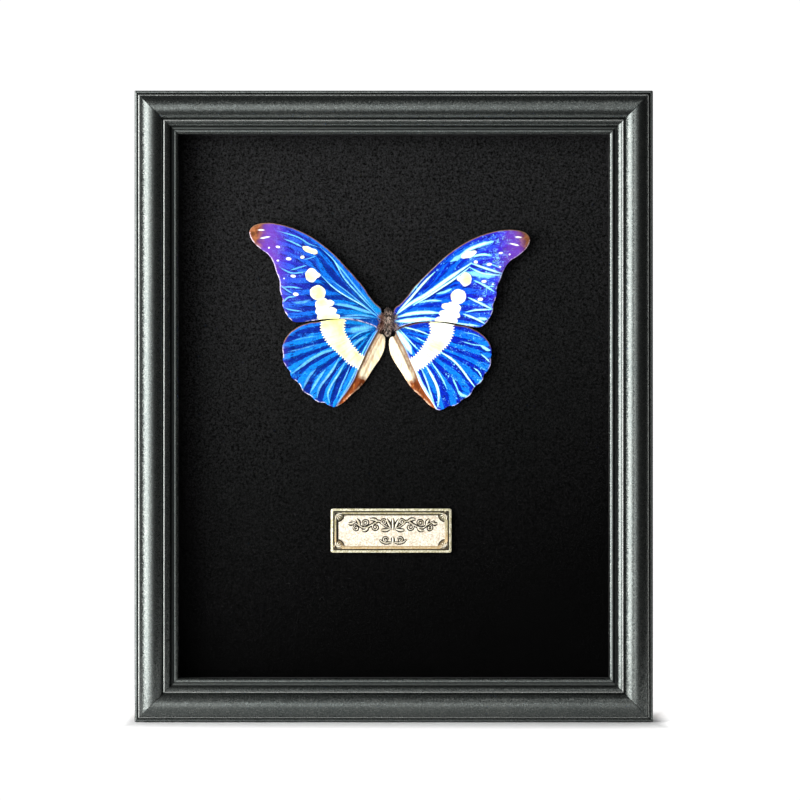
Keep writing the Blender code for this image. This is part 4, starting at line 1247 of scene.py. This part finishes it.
def brown_hair():
    """Matted hair, near black to pale, reddish on the left and navy on the right."""
    finish = Finish("brown_hair", Sheen_Weight=0.15, Sheen_Roughness=0.4, Specular_IOR_Level=0.3)
    place = finish.place()
    tone = finish.attribute("tone")
    grain = finish.noise(place, 1600.0, 2.0)
    mixed = (tone * 0.9 + grain * 0.2).clamp()
    stops = [(0.22, srgb(7, 5, 5)), (0.40, srgb(92, 62, 46)), (0.60, srgb(190, 164, 146)),
             (1.0, srgb(255, 240, 228))]
    colour = finish.node("ValToRGB", {"stops": stops}, [mixed])
    side = (finish.axes(place)[0] - BODY_AXIS.x) / MM
    colour = finish.mix((0.0 - side).ease(1.2, 2.6) * 0.35, colour, srgb(122, 56, 40))
    navy = side.ease(1.2, 2.2) * (1.0 - side.ease(2.6, 3.6)) * 0.55
    colour = finish.mix(navy, colour, srgb(22, 18, 62))
    return finish.shade(Base_Color=colour, Roughness=0.5 + 0.2 * grain)


def body_hide():
    """The horny skin under the hairs, with glossy dark eyes."""
    finish = Finish("brown_body")
    place = finish.place()
    grain = finish.noise(place, 900.0, 3.0)
    cloud = finish.noise(place, 260.0, 2.0)
    colour = finish.mix((grain * 0.5 + cloud * 0.5).ease(0.35, 0.7), srgb(10, 8, 8), srgb(58, 44, 38))
    return finish.shade(Base_Color=colour, Roughness=0.45 + 0.3 * cloud,
                        Normal=finish.bump(grain, 0.5, 0.05 * MM))


def dark_feeler():
    """Near black, dull and finely ringed."""
    finish = Finish("dark_feeler", Specular_IOR_Level=0.08)
    place = finish.place()
    rings = finish.noise(finish.stretched(place, (0.2, 0.2, 1.0)), 3000.0, 1.0)
    return finish.shade(Base_Color=finish.mix(rings, (0.001, 0.001, 0.001), (0.010, 0.008, 0.007)),
                        Roughness=0.8 + 0.2 * rings, Normal=finish.bump(rings, 0.3, 0.03 * MM))


def antenna(name, route, material):
    """A thin jointed feeler that thickens to a club at its tip."""
    line = smooth_line(route, 12)
    total = len(line) - 1
    rings = []
    for number, (x, z) in enumerate(line):
        before, after = line[max(number - 1, 0)], line[min(number + 1, total)]
        along = Vector((after[0] - before[0], 0.0, after[1] - before[1])).normalized()
        side = along.cross(Vector((0, 1, 0)))
        t = number / total
        girth = 0.11 + 0.13 * max(0.0, (t - 0.86) / 0.14) * (1.0 - 0.55 * max(0.0, (t - 0.95) / 0.05))
        girth *= 1.0 + 0.12 * (number % 2)
        middle = Vector((ROOT.x + x * MM, FEELER_DEPTH, ROOT.z + z * MM))
        rings.append([middle + (side * math.cos(a) + Vector((0, 1, 0)) * math.sin(a)) * girth * MM
                      for a in (corner * math.tau / 8 for corner in range(8))])
    piece = grown("jointed_" + name, rings)
    smooth(piece, 60)
    finished(piece, [name], [material])


def build_body():
    draw = random.Random(31)
    lobes = join([lobe(*values) for values in BODY_LOBES], "body_lobes")
    finished(lobes, ["butterfly_body"], [body_hide()])
    strands = []
    for (_, middle, half), (count, length) in zip(BODY_LOBES, HAIRS):
        strands += lobe_hairs(middle, half, count, length, draw)
    for middle, aim, spread, count, length in TUFTS:
        strands += tuft_hairs(middle, aim, spread, count, length, draw)
    finished(strand_mesh("body_hairs", strands), (), [brown_hair()])
    feeler = dark_feeler()
    for name, route in ANTENNAE.items():
        antenna(name, route, feeler)


# ---------------------------------------------------------------- nameplate
PLATE_HALF = Vector(((PLATE_HIGH.x - PLATE_LOW.x) / 2, 0.0, (PLATE_HIGH.z - PLATE_LOW.z) / 2))
PLATE_FRONT, PLATE_BACK = PLATE_LOW.y, PLATE_HIGH.y
FIELD_DEPTH = 0.75 * MM
FIELD_INSET = 2.85 * MM
NOTCH = 3.1 * MM
CORNER_STEPS = 8
# steps of the cast plate, from its side over rim, groove and band: inset, corner radius, depth; mm
PLATE_STEPS = [
    (0.0, 1.0, 0.28), (0.08, 0.95, 0.09), (0.28, 0.8, 0.0), (1.05, 0.5, 0.0), (1.20, 0.4, 0.30),
    (1.60, 0.35, 0.30), (1.75, 0.3, 0.06), (2.5, 0.2, 0.06), (2.62, 0.15, 0.14),
]


def plate_ring(inset, radius, depth, notched=False):
    """A rounded rectangle at a depth behind the plate's front, or one whose corners are scooped out."""
    ring = []
    for right, up, start in ((1, 1, 0), (-1, 1, 90), (-1, -1, 180), (1, -1, 270)):
        corner = (PLATE_HALF.x - inset) * right, (PLATE_HALF.z - inset) * up
        if notched:
            turned = arc(corner, radius, start + 270, start + 180, CORNER_STEPS)
        else:
            centre = corner[0] - radius * right, corner[1] - radius * up
            turned = arc(centre, radius, start, start + 90, CORNER_STEPS)
        ring += [(PLATE_MIDDLE.x + x, PLATE_FRONT + depth, PLATE_MIDDLE.z + z) for x, z in turned]
    return ring


def build_plate():
    metal, ornament, patina = antique_metal(), ornament_metal(), dark_patina()
    thick = PLATE_BACK - PLATE_FRONT
    rings = [plate_ring(0.15 * MM, 1.0 * MM, thick), plate_ring(0.0, 1.0 * MM, thick - 0.15 * MM)]
    rings += [plate_ring(*(value * MM for value in step)) for step in PLATE_STEPS]
    rings += [plate_ring(2.70 * MM, NOTCH - 0.12 * MM, 0.16 * MM, notched=True),
              plate_ring(FIELD_INSET, NOTCH, 0.22 * MM, notched=True),
              plate_ring(FIELD_INSET + 0.16 * MM, NOTCH + 0.1 * MM, FIELD_DEPTH, notched=True)]
    plate = grown("cast_nameplate", rings)
    smooth(plate, 30)
    finished(plate, ["nameplate"], [metal])
    strokes, shadows = [], []
    for number, (line, width) in enumerate(flourish_lines()):
        strokes.append(stroke("flourish_%02d" % number, line, width * 0.85, 0.34 * MM, 0.0))
        shadows.append(stroke("flourish_patina_%02d" % number, line, width + 0.46 * MM, 0.05 * MM, 0.0))
    for right in (-1, 1):
        for up in (-1, 1):
            strokes += fan(right, up)
    finished(join(strokes, "plate_flourish"), (), [ornament])
    finished(join(shadows, "plate_patina"), (), [patina])


def stroke(name, line, half_width, height, sink):
    """A raised line with a round back that swells in its middle and ends in points."""
    base = PLATE_FRONT + FIELD_DEPTH + sink
    total = len(line) - 1
    rings = []
    for number in range(total + 1):
        before, after = line[max(number - 1, 0)], line[min(number + 1, total)]
        along = Vector((after[0] - before[0], 0.0, after[1] - before[1])).normalized()
        side = Vector((along.z, 0.0, -along.x))
        swell = 0.30 + 0.70 * math.sin(math.pi * min(max(number / total, 0.03), 0.97)) ** 0.7
        middle = Vector((PLATE_MIDDLE.x + line[number][0] * MM, base, PLATE_MIDDLE.z + line[number][1] * MM))
        ring = []
        for corner in range(7):
            angle = math.pi * corner / 6
            ring.append(middle + side * half_width * swell * math.cos(angle)
                        - Vector((0.0, height * (0.45 + 0.55 * swell) * math.sin(angle), 0.0)))
        rings.append(ring)
    piece = grown(name, rings)
    smooth(piece, 50)
    return piece


def curl(middle, radius, start, turns, hand):
    """A spiral tendril that winds in to its middle."""
    steps = int(20 * turns)
    points = []
    for i in range(steps + 1):
        t = i / steps
        reach = radius * (1.0 - 0.78 * t)
        angle = math.radians(start) + hand * math.tau * turns * t
        points.append((middle[0] + reach * math.cos(angle), middle[1] + reach * math.sin(angle)))
    return points


def flourish_lines():
    """Two vines that run out from a palmette, and a small spray under it: (line, half width)."""
    middle = 0.8
    lines = [([(middle, 0.3), (middle, 2.0), (middle, 3.6), (middle, 5.6)], 0.62 * MM)]
    stem = [(0.5, 0.9), (3.4, 2.0), (6.4, 4.3), (9.8, 2.4), (13.2, 1.2), (16.2, 3.0), (18.9, 4.4)]
    curls = [(4.0, 3.9, 1.5, -70, 1), (7.8, 1.6, 1.7, 100, -1), (12.2, 3.5, 1.6, -80, 1),
             (16.6, 1.2, 1.3, 100, -1)]
    spray = [(0.4, -5.2), (2.4, -5.6), (4.6, -5.2), (6.2, -4.0)]
    leaves = [((1.0, 1.2), (2.0, 3.4), (3.0, 5.4)), ((1.2, 0.8), (3.2, 0.2), (5.4, 0.3)),
              ((6.8, 4.3), (8.4, 5.0), (10.4, 5.2)), ((11.2, 1.6), (12.2, 0.3), (14.0, -0.1)),
              ((15.0, 2.2), (15.6, 4.0), (16.6, 5.3)), ((17.4, 3.7), (18.8, 3.1), (20.2, 3.3))]
    for hand in (-1, 1):
        def placed(points):
            return [(middle + hand * x, z) for x, z in points]
        lines.append((placed(smooth_line(stem, 8)), 0.36 * MM))
        for x, z, radius, start, turn in curls:
            lines.append((placed(curl((x, z), radius, start, 1.2, turn)), 0.30 * MM))
        for leaf in leaves:
            lines.append((placed(smooth_line(leaf, 7)), 0.60 * MM))
        lines.append((placed(curl((3.4, -4.1), 1.3, 180, 1.2, -1)), 0.30 * MM))
        lines.append((placed(smooth_line(spray, 7)), 0.40 * MM))
    lines.append(([(middle, -5.4), (middle, -4.6), (middle, -3.8), (middle, -2.8)], 0.60 * MM))
    return lines


def fan(right, up):
    """A ribbed shell in one corner of the plate."""
    ribs = []
    inset = (FIELD_INSET - 0.85 * MM) / MM
    hub = (PLATE_HALF.x / MM - inset) * right, (PLATE_HALF.z / MM - inset) * up
    for number in range(5):
        angle = math.radians(180 + 6 + 19.5 * number)
        ends = [(hub[0] + right * math.cos(angle) * reach, hub[1] + up * math.sin(angle) * reach)
                for reach in (0.4, 1.2, 2.1, 3.0, 3.5)]
        ribs.append(stroke("shell_rib", ends, 0.42 * MM, 0.66 * MM, -0.12 * MM))
    return ribs


def antique_metal():
    """Cast plate: light warm metal where it was rubbed, olive and black where the patina stayed, a painted
    shadow inside the field along its left and top walls, and its right and bottom walls kept light as painted
    light.
    """
    finish = Finish("antique_cast_metal", Specular_IOR_Level=0.12)
    place = finish.place()
    x, y, z = finish.axes(place)
    depth = (y - PLATE_FRONT) / MM
    left, right = (x - PLATE_LOW.x) / MM, (PLATE_HIGH.x - x) / MM
    low, top = (z - PLATE_LOW.z) / MM, (PLATE_HIGH.z - z) / MM
    grain = finish.noise(place, 1500.0, 3.0, 0.6)
    cloud = finish.noise(place, 260.0, 3.0)
    field = depth.ease(0.68, 0.74)
    light = finish.mix((grain * 0.8 + cloud * 0.2).ease(0.35, 0.65), srgb(238, 230, 214), srgb(186, 172, 150))
    rim = finish.mix(grain.ease(0.35, 0.65), srgb(222, 218, 196), srgb(156, 148, 112))
    beside, over = left.at_most(right), low.at_most(top)
    edge = beside.at_most(over)
    band = edge.ease(1.3, 1.6)
    olive = finish.mix(low.ease(4.0, 12.0), srgb(176, 144, 96), srgb(134, 124, 88))
    rim = finish.mix(band * (0.5 + 0.4 * grain), rim, olive)
    colour = finish.mix(field, rim, light)
    # painted light: the field's right and bottom walls are kept free of patina, as lit walls
    warm = right.at_most(low)
    bare = (warm - 2.4).ease(0.0, 0.2) * (3.4 - warm).ease(0.0, 0.2)
    patina_and_painted_shade = depth.ease(0.09, 0.2) * (1.0 - field) * (1.0 - bare * 0.8)
    # painted shadow: a black band inside the field along its left and top walls, as cast by the rim; patina
    # elsewhere in the hollows
    painted_shadow_distance = (left - 2.6).at_most((top - 2.6) * 1.7)
    sunk = painted_shadow_distance.at_most(warm - 2.6).ease(-0.2, 0.0)
    patina_and_painted_shade = patina_and_painted_shade.at_least((1.0 - painted_shadow_distance.ease(0.75, 1.15)) * sunk)
    shell = (7.3 - (beside + over)).ease(0.0, 0.8) * (edge - 1.6).ease(0.0, 0.3)
    patina_and_painted_shade = patina_and_painted_shade.at_least(shell * (1.0 - field))
    colour = finish.mix(patina_and_painted_shade * 0.96, colour, srgb(10, 8, 5))
    return finish.shade(Base_Color=colour, Metallic=(1.0 - patina_and_painted_shade) * 0.55,
                        Roughness=0.40 + 0.25 * grain + patina_and_painted_shade * 0.3,
                        Normal=finish.bump(grain, 0.3, 0.05 * MM))


def ornament_metal():
    """Raised ornament, bright on top and black at its foot."""
    finish = Finish("rubbed_ornament", Specular_IOR_Level=0.12)
    place = finish.place()
    depth = (finish.axes(place)[1] - PLATE_FRONT) / MM
    grain = finish.noise(place, 1200.0, 3.0)
    low = depth.ease(0.56, 0.72)
    colour = finish.mix(grain.ease(0.35, 0.7), srgb(228, 222, 206), srgb(170, 158, 126))
    colour = finish.mix(low, colour, srgb(16, 14, 9))
    return finish.shade(Base_Color=colour, Metallic=0.5 - low * 0.4,
                        Roughness=0.30 + 0.2 * grain + 0.2 * low,
                        Normal=finish.bump(grain, 0.25, 0.04 * MM))


def dark_patina():
    """Blackening left round the ornament."""
    finish = Finish("dark_patina", Specular_IOR_Level=0.1)
    grain = finish.noise(finish.place(), 1500.0, 3.0)
    colour = finish.mix(grain, srgb(4, 3, 2), srgb(26, 21, 13))
    return finish.shade(Base_Color=colour, Roughness=0.5 + 0.3 * grain,
                        Normal=finish.bump(grain, 0.3, 0.04 * MM))


set_camera()
set_lights()
set_world()
lay_floor()
build_frame()
finish_flat_pieces()
build_wings()
build_body()
build_plate()

bpy.context.scene.view_settings.view_transform = "Standard"
